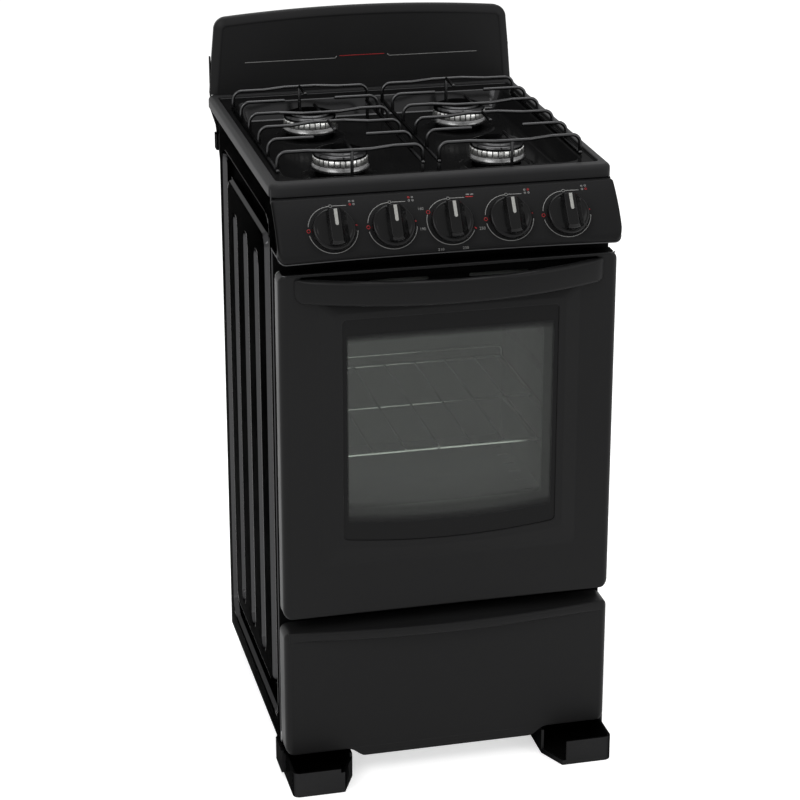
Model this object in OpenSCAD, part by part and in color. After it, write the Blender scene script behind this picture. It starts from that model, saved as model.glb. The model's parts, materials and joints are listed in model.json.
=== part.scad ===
// Freestanding gas range, 20 inch class: four burners, oven and storage drawer.
// X runs across the front, Y runs from the front to the back, Z is up and the
// floor is Z = 0. Inside the modules Y = 0 is the face of the oven door; centred()
// then brings the finished piece onto the middle of the range's whole depth.

/* [Body] */
// Width over the two side panels
body_w = 504; // [480:1:540]
// Depth of the side panels
body_d = 442; // [425:1:480]
// Height of the body's underside above the floor
foot_h = 40; // [36:1:50]
// Thickness of the folded sheet
sheet = 1.2; // [0.8:0.1:1.5]
// Width of the folded flanges
flange = 14; // [12:1:16]

/* [Side panel pressing] */
// Depth of the pressed channels
press_depth = 7; // [4:0.5:8]
// Slope width of a pressed wall
press_run = 8; // [4:0.5:10]
// Width of the channel that runs round the panel
channel_w = 42; // [34:1:48]
// Number of upright grooves inside it
groove_count = 3; // [2:1:4]
// Width of one upright groove
groove_w = 36; // [28:1:40]

/* [Cooktop] */
// How far the cooktop and control panel stand out over each side panel
cook_over = 1.5; // [0.5:0.25:2]
// Depth from front to back
cook_d = 545; // [535:1:555]
// Height of the rim
rim_h = 18; // [16:0.5:24]
// Width of the rim's top at the sides
rim_side = 13.5; // [12:0.5:16]
// Width of the rim's top at the front and back
rim_front = 22; // [18:1:26]
// Radius of the rim's rounded top edge
rim_fillet = 7; // [4:0.5:8]
// Drop from the rim to the ledge that carries the grates
ledge_drop = 4; // [3:0.5:6]
// Depth of the well below the ledge
well_depth = 29; // [26:1:32]
// Sheet thickness of the cooktop
cook_sheet = 1.5; // [1:0.1:1.8]

/* [Burners] */
// Distance between the front and rear burners
burner_pitch_y = 223; // [218:1:228]
// Radius of the burner's lower lip
lip_r = 44; // [42:0.5:45]
// Radius of the slotted band
band_r = 41; // [38:0.5:41.5]
// Number of flame slots
slot_count = 30; // [20:2:36]
// Height of the slotted band
band_h = 10.5; // [8:0.5:12]
// Radius of the cup below the cooktop
cup_r = 24; // [20:0.5:25]
// Thickness of the burner cap
cap_h = 9; // [7:0.5:10]

/* [Grates] */
// Diameter of the grate wire
wire_d = 5.5; // [5:0.1:6]
// Space between a grate and the rim, and from a grate to the middle
grate_play = 9.5; // [8:0.5:12]
// Height of the bars above the side rails
grate_h = 27; // [25:1:32]
// Distance between neighbouring bars round one burner
bar_pitch = 72; // [66:1:74]
// How far a bar bows away from its burner
bar_bow = 13; // [8:1:14]
// Bend radius of the wire
bend_r = 13; // [9:1:14]

/* [Control panel] */
// Space between the door and the panel
panel_gap = 18; // [14:0.5:22]
// Height of the control panel
panel_h = 82; // [78:1:84]
// Radius of its curved face
panel_r = 194.5; // [180:0.5:220]
// Wall of the control panel
panel_wall = 2.5; // [2:0.1:3]
// Distance between two knobs
knob_pitch = 86; // [80:1:88]
// Diameter of a knob
knob_d = 63; // [54:1:66]
// Height of a knob's disc
knob_disc_h = 12.5; // [10:0.5:14]
// Height of the grip above the disc
grip_h = 15; // [12:0.5:18]
// Width of the grip
grip_w = 20; // [16:0.5:24]
// How far a knob pushes in
push_travel = 3; // [2:0.5:3]
// Diameter of the valve stems
stem_d = 6; // [5:0.5:7]

/* [Door] */
// Height of the oven door
door_h = 538; // [532:1:544]
// Depth of the door's outer shell
door_shell = 30; // [28:1:32]
// Space between the drawer and the door
door_gap_z = 21.5; // [20:0.5:24]
// Radius of the door's upright front edges
edge_r = 12; // [8:1:14]
// Skin of the door and drawer fronts
skin = 2; // [1.5:0.1:2.5]
// Width of the window opening
window_w = 323; // [300:1:330]
// Height of the window opening at its sides
window_h = 342; // [330:1:346]
// How far the window's lower edge bows down
window_sag = 11; // [6:1:12]
// Distance from the door's top to the window
window_top = 71; // [66:1:76]
// How far the window surround stands proud
surround_rise = 6; // [3:0.5:7]
// Width of the surround's slope
surround_run = 25; // [18:1:28]
// Thickness of the glass
glass_t = 4; // [3:0.5:4.5]

/* [Handle] */
// Height of the handle band
handle_h = 36.5; // [30:0.5:38]
// Thickness of the handle band
handle_t = 14; // [10:0.5:16]
// How far the handle's middle stands off the door
handle_reach = 56; // [50:1:60]
// Distance from the door's side to the handle's end
handle_side = 13.5; // [12:0.5:22]
// Distance from the door's top to the handle
handle_top = 5.5; // [4:0.5:7]

/* [Drawer] */
// Height of the drawer front
drawer_h = 206; // [196:1:210]
// Height of its bowed lip
lip_h = 16; // [12:0.5:20]
// How far the lip bows forward
lip_bow = 22; // [16:1:24]
// Space between the drawer tray and the side panel's outer face
tray_side = 34; // [33:1:50]
// Height of the drawer tray
tray_h = 130; // [100:1:140]
// Length of the drawer tray
tray_d = 425; // [380:1:435]

/* [Oven] */
// Space between the oven's inside and the side panel's outer face
oven_side = 47; // [46:1:54]
// Inner height of the oven
oven_h = 434; // [424:1:440]
// Inner depth of the oven
oven_d = 398; // [385:1:400]
// Thickness of the insulation
wool = 25; // [15:1:30]
// Height of the rack above the oven floor plate
rack_level = 140; // [120:1:160]
// Distance between the rack's cross wires
rack_pitch = 51; // [40:1:60]
// Diameter of the rack's frame wire
rack_wire = 6; // [5:0.5:7]

/* [Backsplash] */
// How far the backsplash stands in from each side panel's outer face
splash_side = 1.5; // [0:0.5:7]
// Height at its corners
splash_h = 122; // [100:1:140]
// Rise of its arched top
splash_crown = 12.5; // [8:0.5:18]
// Whole depth of the backsplash
splash_d = 24; // [20:1:28]
// Width of its bevelled border
splash_bevel = 12; // [8:1:16]

/* [Feet] */
// Width of a foot
foot_w = 100; // [90:1:102]
// How far a front foot reaches forward
toe = 45; // [35:1:50]
// Depth of a foot under the body
foot_d = 92; // [80:1:100]
// Wall of a foot
foot_wall = 4; // [3:0.5:5]
// Radius of a foot's outer corner
foot_corner = 10; // [6:1:14]
// How far the rear feet stand in from the side panels
rear_foot_in = 34; // [30:1:60]

/* [Hidden] */
$fn = 48;
touch = 0.3;                        // running gap between neighbouring pieces
half_w = body_w / 2;
cook_w = body_w + 2 * cook_over;
splash_w = body_w - 2 * splash_side;
oven_w = body_w - 2 * oven_side;
tray_w = body_w - 2 * tray_side;
handle_w = body_w - 2 * handle_side;
door_gap = 4;                       // door to front frame, filled by the seal
door_plug = 12;                     // depth of the inner panel's raised plate
front_y = door_shell + door_plug + door_gap;
side_y0 = front_y + sheet;
side_y1 = side_y0 + body_d;

drawer_z0 = foot_h + 6.5;
drawer_z1 = drawer_z0 + drawer_h;
door_z0 = drawer_z1 + door_gap_z;
door_z1 = door_z0 + door_h;
panel_z0 = door_z1 + panel_gap;
panel_z1 = panel_z0 + panel_h;

cook_z = panel_z1 + 2;
rim_z = cook_z + rim_h;
ledge_z = rim_z - ledge_drop;
floor_z = ledge_z - well_depth;
side_top = ledge_z - cook_sheet;
cook_y0 = front_y - 1;
cook_y1 = cook_y0 + cook_d;
body_h = cook_z - foot_h;

splash_y0 = cook_y1 - 13;
splash_y1 = splash_y0 + splash_d;
mid_y = (splash_y1 - handle_reach) / 2;

// Side pressing
channel_front = 38;
channel_rear = 34;
channel_low = 36;
channel_high = 48;
channel_r = 32;
groove_end = 24;

// Oven
oven_z1 = door_z1 - 61;
oven_z0 = oven_z1 - oven_h;
oven_y1 = side_y0 + oven_d;
oven_plate_z = oven_z0 + 42;
rack_z = oven_plate_z + rack_level;
guide_w = 10;
guide_pitch = 62;
guide_h = 6;
oven_burner_z = oven_z0 + 20;
oven_tube_r = 11;
feed_y = side_y0 + 24;
tube_r = 5;

// Door
surround_flat = 10;
glass_lap = surround_flat - skin - touch;
window_z1 = door_z1 - window_top;
window_z0 = window_z1 - window_h;
surround_x = window_w / 2 + surround_flat + surround_run;
surround_z = [window_z0 - window_sag - surround_flat - surround_run, window_z1 + surround_flat + surround_run];
plug_side = 34;
plug_end = 24;
inner_open_w = window_w - 19;
inner_margin = 28;
hinge_y = 26;
hinge_z = door_z0 + 13.5;
hinge_x = half_w - 16;
hinge_pin_r = 4;
pin_play = 0.05;
handle_r = (pow(handle_w / 2, 2) + pow(handle_reach, 2)) / (2 * handle_reach);
handle_z1 = door_z1 - handle_top;
pocket_w = handle_w - 32;
pocket_d = 12;

// Control panel: centre of the curved face, and the knobs' line on it
face_top_y = front_y - 9;
face_lean = 51.1;                   // lean of the curved face at its top edge
face_cy = face_top_y + panel_r * cos(face_lean);
face_cz = panel_z1 - panel_r * sin(face_lean);
knob_angle = 35.6;
bottom_fillet = 12;
stem_hole_r = 6;
valve_r = 9;
valve_nose = -18;
valve_back = -50;
manifold_r = 7.5;
knob_gap = 1;

// Burners and grates
burner_y = [cook_y0 + 151, cook_y0 + 151 + burner_pitch_y];
base_r = 37;
base_h = 11;
lip_t = 9;
cap_r = band_r - 0.5;
head_top = floor_z + base_h + lip_t + band_h;
rail_z = ledge_z + wire_d / 2 + 0.5;
bar_z = rail_z + grate_h;
grate_x0 = grate_play;
grate_w = cook_w / 2 - rim_side - 2 * grate_play;
burner_x = grate_x0 + grate_w / 2;
finger_gap = 39;                    // burner's axis to the tip of a finger
rim_corner = 14;

// Drawer
runner_z = drawer_z0 + 11;
front_d = 40;
tray_y0 = skin + touch;

foot_x1 = half_w - 1.5;
foot_x0 = foot_x1 - foot_w;

// ---- helpers -------------------------------------------------------------

module centred() translate([0, -mid_y, 0]) children();

module box(lo, hi) translate(lo) cube(hi - lo);

module both_sides() {
    children();
    mirror([1, 0, 0]) children();
}

// Extrudes an outline drawn in X and Z backwards from y0
module along_y(y0, depth) translate([0, y0 + depth, 0]) rotate([90, 0, 0]) linear_extrude(depth) children();

// Extrudes an outline drawn in Y and Z from x0 to the right
module along_x(x0, len) translate([x0, 0, 0]) rotate([90, 0, 90]) linear_extrude(len) children();

module round_rect(lo, hi, r) {
    translate([lo.x + r, lo.y]) square([hi.x - lo.x - 2 * r, hi.y - lo.y]);
    translate([lo.x, lo.y + r]) square([hi.x - lo.x, hi.y - lo.y - 2 * r]);
    for (x = [lo.x + r, hi.x - r], y = [lo.y + r, hi.y - r]) translate([x, y]) circle(r);
}

module rod(a, b, d) {
    v = b - a;
    translate(a)
        rotate([0, acos(v.z / norm(v)), atan2(v.y, v.x)])
            cylinder(h = norm(v), d = d);
}

// Wire through a list of points, round at every joint
module wire(points, d) {
    for (i = [0 : len(points) - 2]) rod(points[i], points[i + 1], d);
    for (p = points) translate(p) sphere(d = d);
}

// Frame of a knob's axis: origin on the panel's face, Z straight out of it
module at_knob(k)
    translate([(k - 3) * knob_pitch,
               face_cy - panel_r * cos(knob_angle),
               face_cz + panel_r * sin(knob_angle)])
        rotate([90 - knob_angle, 0, 0]) children();

// ---- body ----------------------------------------------------------------

// Tapered pan pressed in from the side panel's outer face; it grows by t
module side_pan(lo, hi, r, t, flare) {
    over = 1;
    hull()
        for (y = [lo.x + r, hi.x - r], z = [lo.y + r, hi.y - r])
            translate([half_w + over, y, z])
                rotate([0, -90, 0])
                    cylinder(h = press_depth + over + t,
                             r1 = r + t + flare * over * press_run / press_depth,
                             r2 = r + t - flare * press_run, $fn = 32);
}

module side_groove(y, z0, z1, t) {
    over = 1;
    w0 = groove_w / 2 + t + over * press_run / press_depth;
    w1 = groove_w / 2 + t - press_run;
    h = press_depth + over + t;
    translate([half_w + over, y, z0])
        linear_extrude(z1 - z0) polygon([[0, -w0], [0, w0], [-h, w1], [-h, -w1]]);
    for (z = [z0, z1])
        translate([half_w + over, y, z]) rotate([0, -90, 0]) cylinder(h = h, r1 = w0, r2 = w1);
}

module side_pressing(t) {
    lo = [side_y0 + channel_front, foot_h + channel_low];
    hi = [side_y1 - channel_rear, side_top - channel_high];
    in = [channel_w, channel_w];
    difference() {
        side_pan(lo, hi, channel_r, t, 1);
        side_pan(lo + in, hi - in, channel_r / 2, -t, -1);
    }
    span = (hi.x - lo.x - 2 * channel_w) / groove_count;
    for (i = [0 : groove_count - 1])
        side_groove(lo.x + channel_w + span * (i + 0.5),
                    lo.y + channel_w + groove_end + groove_w / 2,
                    hi.y - channel_w - groove_end - groove_w / 2, t);
}

module side_panel() {
    difference() {
        union() {
            box([half_w - sheet, side_y0, foot_h], [half_w, side_y1, side_top]);
            side_pressing(sheet);
            for (y = [side_y0, side_y1 - sheet])
                box([half_w - flange, y, foot_h], [half_w, y + sheet, side_top]);
            for (z = [foot_h, side_top - sheet])
                box([half_w - flange, side_y0, z], [half_w, side_y1, z + sheet]);
        }
        side_pressing(0);
        box([half_w, side_y0 - 1, foot_h - 1], [half_w + 5, side_y1 + 1, side_top + 1]);
        // Top edge turned clear of the rim's rounded fold
        along_y(side_y0 - 1, body_d + 2)
            polygon([[half_w - sheet, side_top + 1], [half_w - sheet, side_top], [half_w, side_top - 2.2],
                     [half_w + 1, side_top - 2.2], [half_w + 1, side_top + 1]]);
        // Corner left free for the rounded corner of the rim
        box([half_w - flange - 1, side_y0 - 1, cook_z - 1], [half_w + 1, cook_y0 + rim_corner + 1, side_top + 1]);
    }
}

module side_panel_right() { color("#161616") centred() side_panel(); }
module side_panel_left() { color("#161616") centred() mirror([1, 0, 0]) side_panel(); }

module rear_panel() {
    color("#8a8a88") centred()
    difference() {
        box([1 - half_w, side_y1, foot_h + 2], [half_w - 1, side_y1 + sheet, floor_z - cook_sheet - 3]);
        for (row = [0 : 2], i = [-3 : 3])
            along_y(side_y1 - 1, sheet + 2)
                round_rect([i * 48 - 16, oven_z0 + row * 20], [i * 48 + 16, oven_z0 + row * 20 + 6], 2.9);
        box([-flue_w / 2 - touch, side_y1 - 1, flue_z0 - touch],
            [flue_w / 2 + touch, side_y1 + sheet + 1, flue_z1 + touch]);
        translate([inlet_x, side_y1 - 1, manifold_pos().y])
            rotate([-90, 0, 0]) cylinder(h = sheet + 2, r = inlet_r + 1);
    }
}

module base_pan() {
    color("#8a8a88") centred() {
        z = foot_h + sheet;
        x = half_w - sheet - touch;
        box([-x, side_y0 + sheet, z], [x, side_y1 - sheet, z + sheet]);
        for (y = [side_y0 + sheet, side_y1 - 2 * sheet])
            box([flange - half_w, y, z], [half_w - flange, y + sheet, z + 5]);
    }
}

module front_frame() {
    color("#141414") centred()
    along_y(front_y, sheet)
    difference() {
        round_rect([sheet - half_w, foot_h + 3], [half_w - sheet, cook_z - touch], 1);
        round_rect([-oven_w / 2, oven_z0], [oven_w / 2, oven_z1], 6);
        round_rect([-tray_w / 2 - 5, runner_z - 6], [tray_w / 2 + 5, drawer_z1 - 14], 4);
        round_rect([-valve_open, panel_z0 - 4], [valve_open, panel_z1 - 8], 4);
    }
}
valve_open = half_w - 30;

// ---- oven ----------------------------------------------------------------

module oven_cavity() {
    rim = 10;
    color("#5c605d") centred()
    difference() {
        union() {
            box([-oven_w / 2 - sheet, side_y0, oven_z0 - sheet],
                [oven_w / 2 + sheet, oven_y1 + sheet, oven_z1 + sheet]);
            box([-oven_w / 2 - rim, side_y0, oven_z0 - rim],
                [oven_w / 2 + rim, side_y0 + sheet, oven_z1 + rim]);
        }
        difference() {
            box([-oven_w / 2, side_y0 - 1, oven_z0], [oven_w / 2, oven_y1, oven_z1]);
            both_sides() {
                for (i = [0 : 3])
                    box([oven_w / 2 - guide_w, side_y0 + 12, rack_z - guide_h + (i - 1) * guide_pitch],
                        [oven_w / 2, oven_y1 - 8, rack_z + (i - 1) * guide_pitch]);
                box([oven_w / 2 - guide_w, side_y0 + 6, oven_plate_z - 4],
                    [oven_w / 2, oven_y1, oven_plate_z]);
            }
        }
        box([-flue_w / 2 + 6, flue_y0 + 4, oven_z1 - 1], [flue_w / 2 - 6, flue_y0 + flue_d - 4, oven_z1 + 3]);
        translate([oven_w / 2 - 2, feed_y, oven_burner_z])
            rotate([0, 90, 0]) cylinder(h = 6, r = tube_r + 0.5);
    }
}
flue_w = 124;
flue_d = 34;
flue_y0 = oven_y1 - 44;
flue_z0 = oven_z1 + 60;
flue_z1 = flue_z0 + 32;

module oven_insulation() {
    g = sheet + touch;
    y0 = side_y0 + 44;
    color("#d8cfa8") centred()
    difference() {
        box([-oven_w / 2 - wool, y0, oven_z0 - wool],
            [oven_w / 2 + wool, oven_y1 + wool, oven_z1 + wool]);
        box([-oven_w / 2 - g, y0 - 1, oven_z0 - g], [oven_w / 2 + g, oven_y1 + g, oven_z1 + g]);
        box([-flue_w / 2 - 2, flue_y0 - 2, oven_z1], [flue_w / 2 + 2, oven_y1 + wool + 1, oven_z1 + wool + 1]);
        both_sides()
            box([half_w - sheet - press_depth - sheet - touch, y0 - 1, oven_z0 - wool - 1],
                [half_w, oven_y1 + wool + 1, oven_z1 + wool + 1]);
    }
}

module oven_floor_plate() {
    x = oven_w / 2 - 2;
    color("#4a4d4b") centred()
    difference() {
        box([-x, side_y0 + 8, oven_plate_z], [x, oven_y1 - 3, oven_plate_z + sheet]);
        for (side = [-1, 1], i = [0 : 8])
            along_z(oven_plate_z - 1, sheet + 2)
                round_rect([side * (x - 22) - 10, side_y0 + 48 + i * 36],
                           [side * (x - 22) + 10, side_y0 + 54 + i * 36], 2.9);
    }
}

module along_z(z0, h) translate([0, 0, z0]) linear_extrude(h) children();

module oven_burner() {
    y1 = oven_y1 - 40;
    color("#9a9a96") centred()
    difference() {
        union() {
            rod([0, feed_y, oven_burner_z], [0, y1, oven_burner_z], 2 * oven_tube_r);
            rod([0, feed_y, oven_burner_z], [oven_w / 2 + 1 - touch, feed_y, oven_burner_z], 2 * tube_r);
            for (y = [side_y0 + 60, y1 - 20])
                box([-14, y, oven_z0], [14, y + 2, oven_burner_z]);
        }
        for (side = [-1, 1], i = [0 : 11])
            translate([0, side_y0 + 50 + i * 25, oven_burner_z])
                rotate([0, side * 60, 0]) cylinder(h = 20, r = 1.6, $fn = 16);
    }
}

module oven_rack() {
    z = rack_z + rack_wire / 2 + 0.2;
    x = oven_w / 2 - rack_wire / 2 - 2;
    y0 = side_y0 + 19;
    y1 = oven_y1 - 12;
    thin = 4;
    n = floor((x - 20) / rack_pitch);
    color("#b9bcbb") centred() {
        wire([[-x, y0, z], [x, y0, z], [x, y1, z], [-x, y1, z], [-x, y0, z]], rack_wire);
        rod([-x, (y0 + y1) / 2, z], [x, (y0 + y1) / 2, z], rack_wire - 1);
        for (i = [-n : n])
            rod([i * rack_pitch, y0, z + 2], [i * rack_pitch, y1, z + 2], thin);
        wire([[-x, y1, z], [-x, y1, z + 18]], rack_wire);
        wire([[x, y1, z], [x, y1, z + 18]], rack_wire);
        rod([-x, y1, z + 18], [x, y1, z + 18], rack_wire - 1);
    }
}

module thermostat_bulb() {
    x = oven_w / 2 - 12;
    z = oven_z1 - 18;
    color("#b98a5a") centred() {
        rod([x, side_y0 + 100, z], [x, side_y0 + 280, z], 7);
        for (y = [side_y0 + 130, side_y0 + 245])
            box([x - 5, y, z - 5], [oven_w / 2 - 0.2, y + 4, z + 5]);
    }
}

module flue_duct() {
    w = flue_w / 2;
    z0 = oven_z1 + sheet;
    y1 = flue_y0 + flue_d;
    color("#8a8a88") centred()
    difference() {
        union() {
            box([-w, flue_y0, z0], [w, y1, flue_z1]);
            box([-w, y1 - 1, flue_z0], [w, side_y1 + 6, flue_z1]);
        }
        box([sheet - w, flue_y0 + sheet, z0 - 1], [w - sheet, y1 - sheet, flue_z1 - sheet]);
        box([sheet - w, flue_y0 + sheet, flue_z0 + sheet], [w - sheet, side_y1 + 7, flue_z1 - sheet]);
    }
}

// ---- cooktop -------------------------------------------------------------

// Post with a rounded top edge, hulled at the four corners into the rim
module rim_post(r, f, h)
    rotate_extrude($fn = 32)
        polygon(concat([[0, 0], [r, 0]],
                       [for (a = [0 : 15 : 90]) [r - f + f * cos(a), h - f + f * sin(a)]],
                       [[0, h]]));

module rim_block(t) {
    r = rim_corner;
    hull()
        for (x = [-1, 1], y = [cook_y0 + r, cook_y1 - r])
            translate([x * (cook_w / 2 - r), y, cook_z - (t > 0 ? 1 : 0)])
                rim_post(r - t, rim_fillet - t, rim_h - t + (t > 0 ? 1 : 0));
}

// The well that the burners stand in; t grows it by the sheet
module well(t) {
    run = 15;
    r = 12;
    x = cook_w / 2 - rim_side - 18 - run;
    up = 2 * (1 - sign(t));
    hull()
        for (sx = [-1, 1], y = [cook_y0 + rim_front + 36, cook_y1 - rim_front - 44])
            translate([sx * (x - r), y, floor_z - t])
                cylinder(h = well_depth + t + up, r1 = r + t, r2 = r + t + run + up / 2, $fn = 32);
}

module cooktop() {
    x = cook_w / 2 - rim_side;
    lo = [-x, cook_y0 + rim_front];
    hi = [x, cook_y1 - rim_front];
    t = [cook_sheet, cook_sheet];
    color("#0d0d0d") centred()
    difference() {
        union() {
            difference() {
                rim_block(0);
                rim_block(cook_sheet);
            }
            along_z(ledge_z - cook_sheet, ledge_drop + cook_sheet - 0.5) round_rect(lo - t, hi + t, 9);
            well(cook_sheet);
        }
        along_z(ledge_z, ledge_drop + 5) round_rect(lo, hi, 8);
        well(0);
        for (sx = [-1, 1], y = burner_y)
            translate([sx * burner_x, y, floor_z - 4]) cylinder(h = 8, r = cup_r + 1);
    }
}

// ---- burners and grates --------------------------------------------------

module burner_head() {
    z1 = base_h;
    z2 = z1 + lip_t;
    z3 = z2 + band_h;
    wall = 10;
    difference() {
        rotate_extrude($fn = 96)
            polygon([[0, -20], [cup_r, -20], [cup_r, 0], [base_r, 0], [base_r, z1],
                     [lip_r - 2, z1], [lip_r, z1 + 2], [lip_r, z2 - 2], [band_r + 1, z2],
                     [band_r, z2], [band_r, z3], [band_r - wall, z3], [band_r - wall, z1],
                     [cup_r - 6, 2], [0, 2]]);
        for (i = [0 : slot_count / 2 - 1])
            rotate([0, 0, (i + 0.5) * 360 / slot_count])
                translate([-band_r - 2, -1, z2 + 1.5]) cube([2 * band_r + 4, 2, band_h - 3]);
    }
}

module burner_heads() {
    color("#c9cac8") centred()
    for (sx = [-1, 1], y = burner_y)
        translate([sx * burner_x, y, floor_z]) burner_head();
}

module burner_cap(sx, row) {
    skirt = 29.5;
    color("#101010") centred()
    translate([sx * burner_x, burner_y[row], head_top + touch])
        rotate_extrude($fn = 96)
            polygon([[0, 2], [skirt - 2, 2], [skirt - 2, -5], [skirt, -5], [skirt, 0],
                     [cap_r, 0], [cap_r, cap_h - 5], [cap_r - 2, cap_h - 3], [cap_r - 9, cap_h - 1.5],
                     [cap_r - 11, cap_h], [0, cap_h]]);
}

module burner_cap_front_left() burner_cap(-1, 0);
module burner_cap_front_right() burner_cap(1, 0);
module burner_cap_rear_left() burner_cap(-1, 1);
module burner_cap_rear_right() burner_cap(1, 1);

// Rails are thicker than the bars, and the fingers a little thinner
rail_d = wire_d + 0.5;
spike_d = wire_d - 0.4;
chamfer = bend_r * 0.6;

// Height of the upright legs' lower ends
leg_z = floor_z + touch;

// Straight piece of grate wire, drawn a little past both its ends
module bar(a, b, d, past = 0.8) {
    u = (b - a) / norm(b - a);
    rod(a - u * past, b + u * past, d, $fn = 12);
}

module bent_wire(points)
    for (i = [0 : len(points) - 2]) bar(points[i], points[i + 1], wire_d - 0.2 * (i % 2));

// One cross bar at y, bowed in the middle
module grate_bar(y, bow) {
    w = grate_w - wire_d;
    c = w / 2;
    bent_wire([[0, y, rail_z], [0, y, bar_z - chamfer], [chamfer, y, bar_z],
               [c - 62, y, bar_z], [c - 28, y + bow, bar_z],
               [c + 28, y + bow, bar_z], [c + 62, y, bar_z],
               [w - chamfer, y, bar_z], [w, y, bar_z - chamfer], [w, y, rail_z]]);
}

// Two short bars that stop either side of the burner
module grate_fingers(y) {
    w = grate_w - wire_d;
    finger = w / 2 - finger_gap;
    bent_wire([[0, y, rail_z], [0, y, bar_z - chamfer], [chamfer, y, bar_z], [finger, y, bar_z]]);
    bent_wire([[w, y, rail_z], [w, y, bar_z - chamfer], [w - chamfer, y, bar_z], [w - finger, y, bar_z]]);
}

module grate() {
    w = grate_w - wire_d;
    translate([grate_x0 + wire_d / 2, 0, 0]) {
        for (row = [0, 1]) {
            y = burner_y[row];
            out = row == 0 ? -1 : 1;
            y_out = y + out * (bar_pitch + bar_bow - 2);
            y_in = y - out * (bar_pitch + bar_bow);
            grate_bar(y + out * bar_pitch, out * (bar_bow - 2));
            grate_bar(y - out * bar_pitch, -out * bar_bow);
            grate_fingers(y);
            bar([w / 2, y_out, bar_z], [w / 2, y_out - out * 50, bar_z], spike_d, 0);
            bar([w / 2, y_in, bar_z], [w / 2, y_in + out * 50, bar_z], spike_d, 0);
            bar([w / 2, y_out, bar_z], [w / 2, y_out, leg_z], spike_d - 0.3, 0);
            bar([0, y + out * bar_pitch, rail_z], [0, y + out * bar_pitch, leg_z], spike_d, 0);
        }
        for (x = [0, w])
            bar([x, burner_y[0] - bar_pitch - 5, rail_z], [x, burner_y[1] + bar_pitch + 5, rail_z], rail_d, 0);
    }
}

module grate_right() { color("#111111") centred() grate(); }
module grate_left() { color("#111111") centred() mirror([1, 0, 0]) grate(); }

// ---- backsplash ----------------------------------------------------------

// Outline with an arched top and rounded corners; inset shrinks all but the base
module splash_outline(inset) {
    x = splash_w / 2 - inset;
    z0 = rim_z + touch;
    r = 30 - inset;
    top = rim_z + splash_h - inset;
    intersection() {
        offset(r) offset(delta = -r)
            polygon(concat([[x, z0 - 60], [-x, z0 - 60]],
                           [for (i = [-12 : 12]) [x * i / 12, top + splash_crown * (1 - pow(i / 12, 2))]]));
        translate([-x, z0]) square([2 * x, splash_h + splash_crown + 10]);
    }
}

module splash_front_block(t) {
    slope = 8;
    hull() {
        along_y(splash_y0 + slope + (t > 0 ? 1 : 0) - 0.01, 0.01) splash_outline(t);
        along_y(splash_y0 + t, 0.01) splash_outline(splash_bevel + t / 2);
    }
}

module backsplash_front() {
    color("#151515") centred()
    difference() {
        splash_front_block(0);
        splash_front_block(cook_sheet);
    }
}

module backsplash_back() {
    y0 = splash_y0 + 8 + touch;
    color("#151515") centred()
    difference() {
        along_y(y0, splash_y1 - y0) splash_outline(1);
        along_y(y0 - 1, splash_y1 - y0 - sheet + 1) splash_outline(1 + sheet);
        box([-splash_w / 2, y0 - 1, rim_z - 1], [splash_w / 2, splash_y1 - sheet, rim_z + 3]);
    }
}

// Plates that carry the cooktop's overhang and the backsplash
module rear_brackets() {
    y0 = side_y1 + sheet;
    y1 = cook_y1 + 1;
    y2 = splash_y1 - 2 * sheet;
    color("#161616") centred()
    both_sides() {
        along_x(half_w - 6, 2)
            polygon([[y0, cook_z - 128], [y0 + 16, cook_z - 82], [y0 + 32, cook_z - 53], [y0 + 58, cook_z - 22],
                     [y2, cook_z - 9], [y2, rim_z + 60], [y1, rim_z + 60], [y1, cook_z - 2], [y0, cook_z - 2]]);
        box([half_w - 22, y0, cook_z - 122], [half_w - 4, y0 + 2, cook_z - 2]);
        box([half_w - 8, y0 + 26, cook_z - 56], [half_w, y0 + 44, cook_z - 30]);
    }
}

// ---- control panel and gas train -----------------------------------------

// Side outline of the panel: curved face, rounded lower edge, flat back
function panel_outline(t) =
    let (r = panel_r - t, f = bottom_fillet - t,
         zf = panel_z0 + bottom_fillet,
         low = asin((zf - face_cz) / (r - f)),
         high = asin((panel_z1 - t - face_cz) / r),
         yf = face_cy - (r - f) * cos(low))
    concat([[front_y + (t > 0 ? 1 : 0) - touch, panel_z1 - t],
            [front_y + (t > 0 ? 1 : 0) - touch, panel_z0 + t]],
           [for (i = [0 : 8]) let (a = -90 + i * (low + 90) / 8) [yf - f * cos(a), zf + f * sin(a)]],
           [for (i = [1 : 14]) let (a = low + i * (high - low) / 14)
               [face_cy - r * cos(a), face_cz + r * sin(a)]]);

module control_panel() {
    w = cook_w;
    color("#1c1c1c") centred()
    difference() {
        along_x(-w / 2, w) polygon(panel_outline(0));
        along_x(panel_wall - w / 2, w - 2 * panel_wall) polygon(panel_outline(panel_wall));
        box([panel_wall - w / 2, front_y - 10, panel_z0 - 1], [w / 2 - panel_wall, front_y + 1, panel_z0 + 6]);
        for (k = [1 : 5]) at_knob(k) translate([0, 0, -8]) cylinder(h = 16, r = stem_hole_r);
    }
}

// Centre of the manifold in Y and Z
function manifold_pos() =
    let (h = valve_back - manifold_r)
    [face_cy - (panel_r + h) * cos(knob_angle), face_cz + (panel_r + h) * sin(knob_angle)];

inlet_x = half_w - 42;
inlet_r = 6.5;

module gas_manifold() {
    p = manifold_pos();
    color("#a9aaa8") centred() {
        rod([-valve_open + 6, p.x, p.y], [inlet_x - 2 * inlet_r - touch, p.x, p.y], 2 * manifold_r);
        both_sides()
            box([valve_open - 40, side_y0, panel_z0 - 16], [valve_open - 28, side_y0 + 2, p.y]);
    }
}

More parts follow.
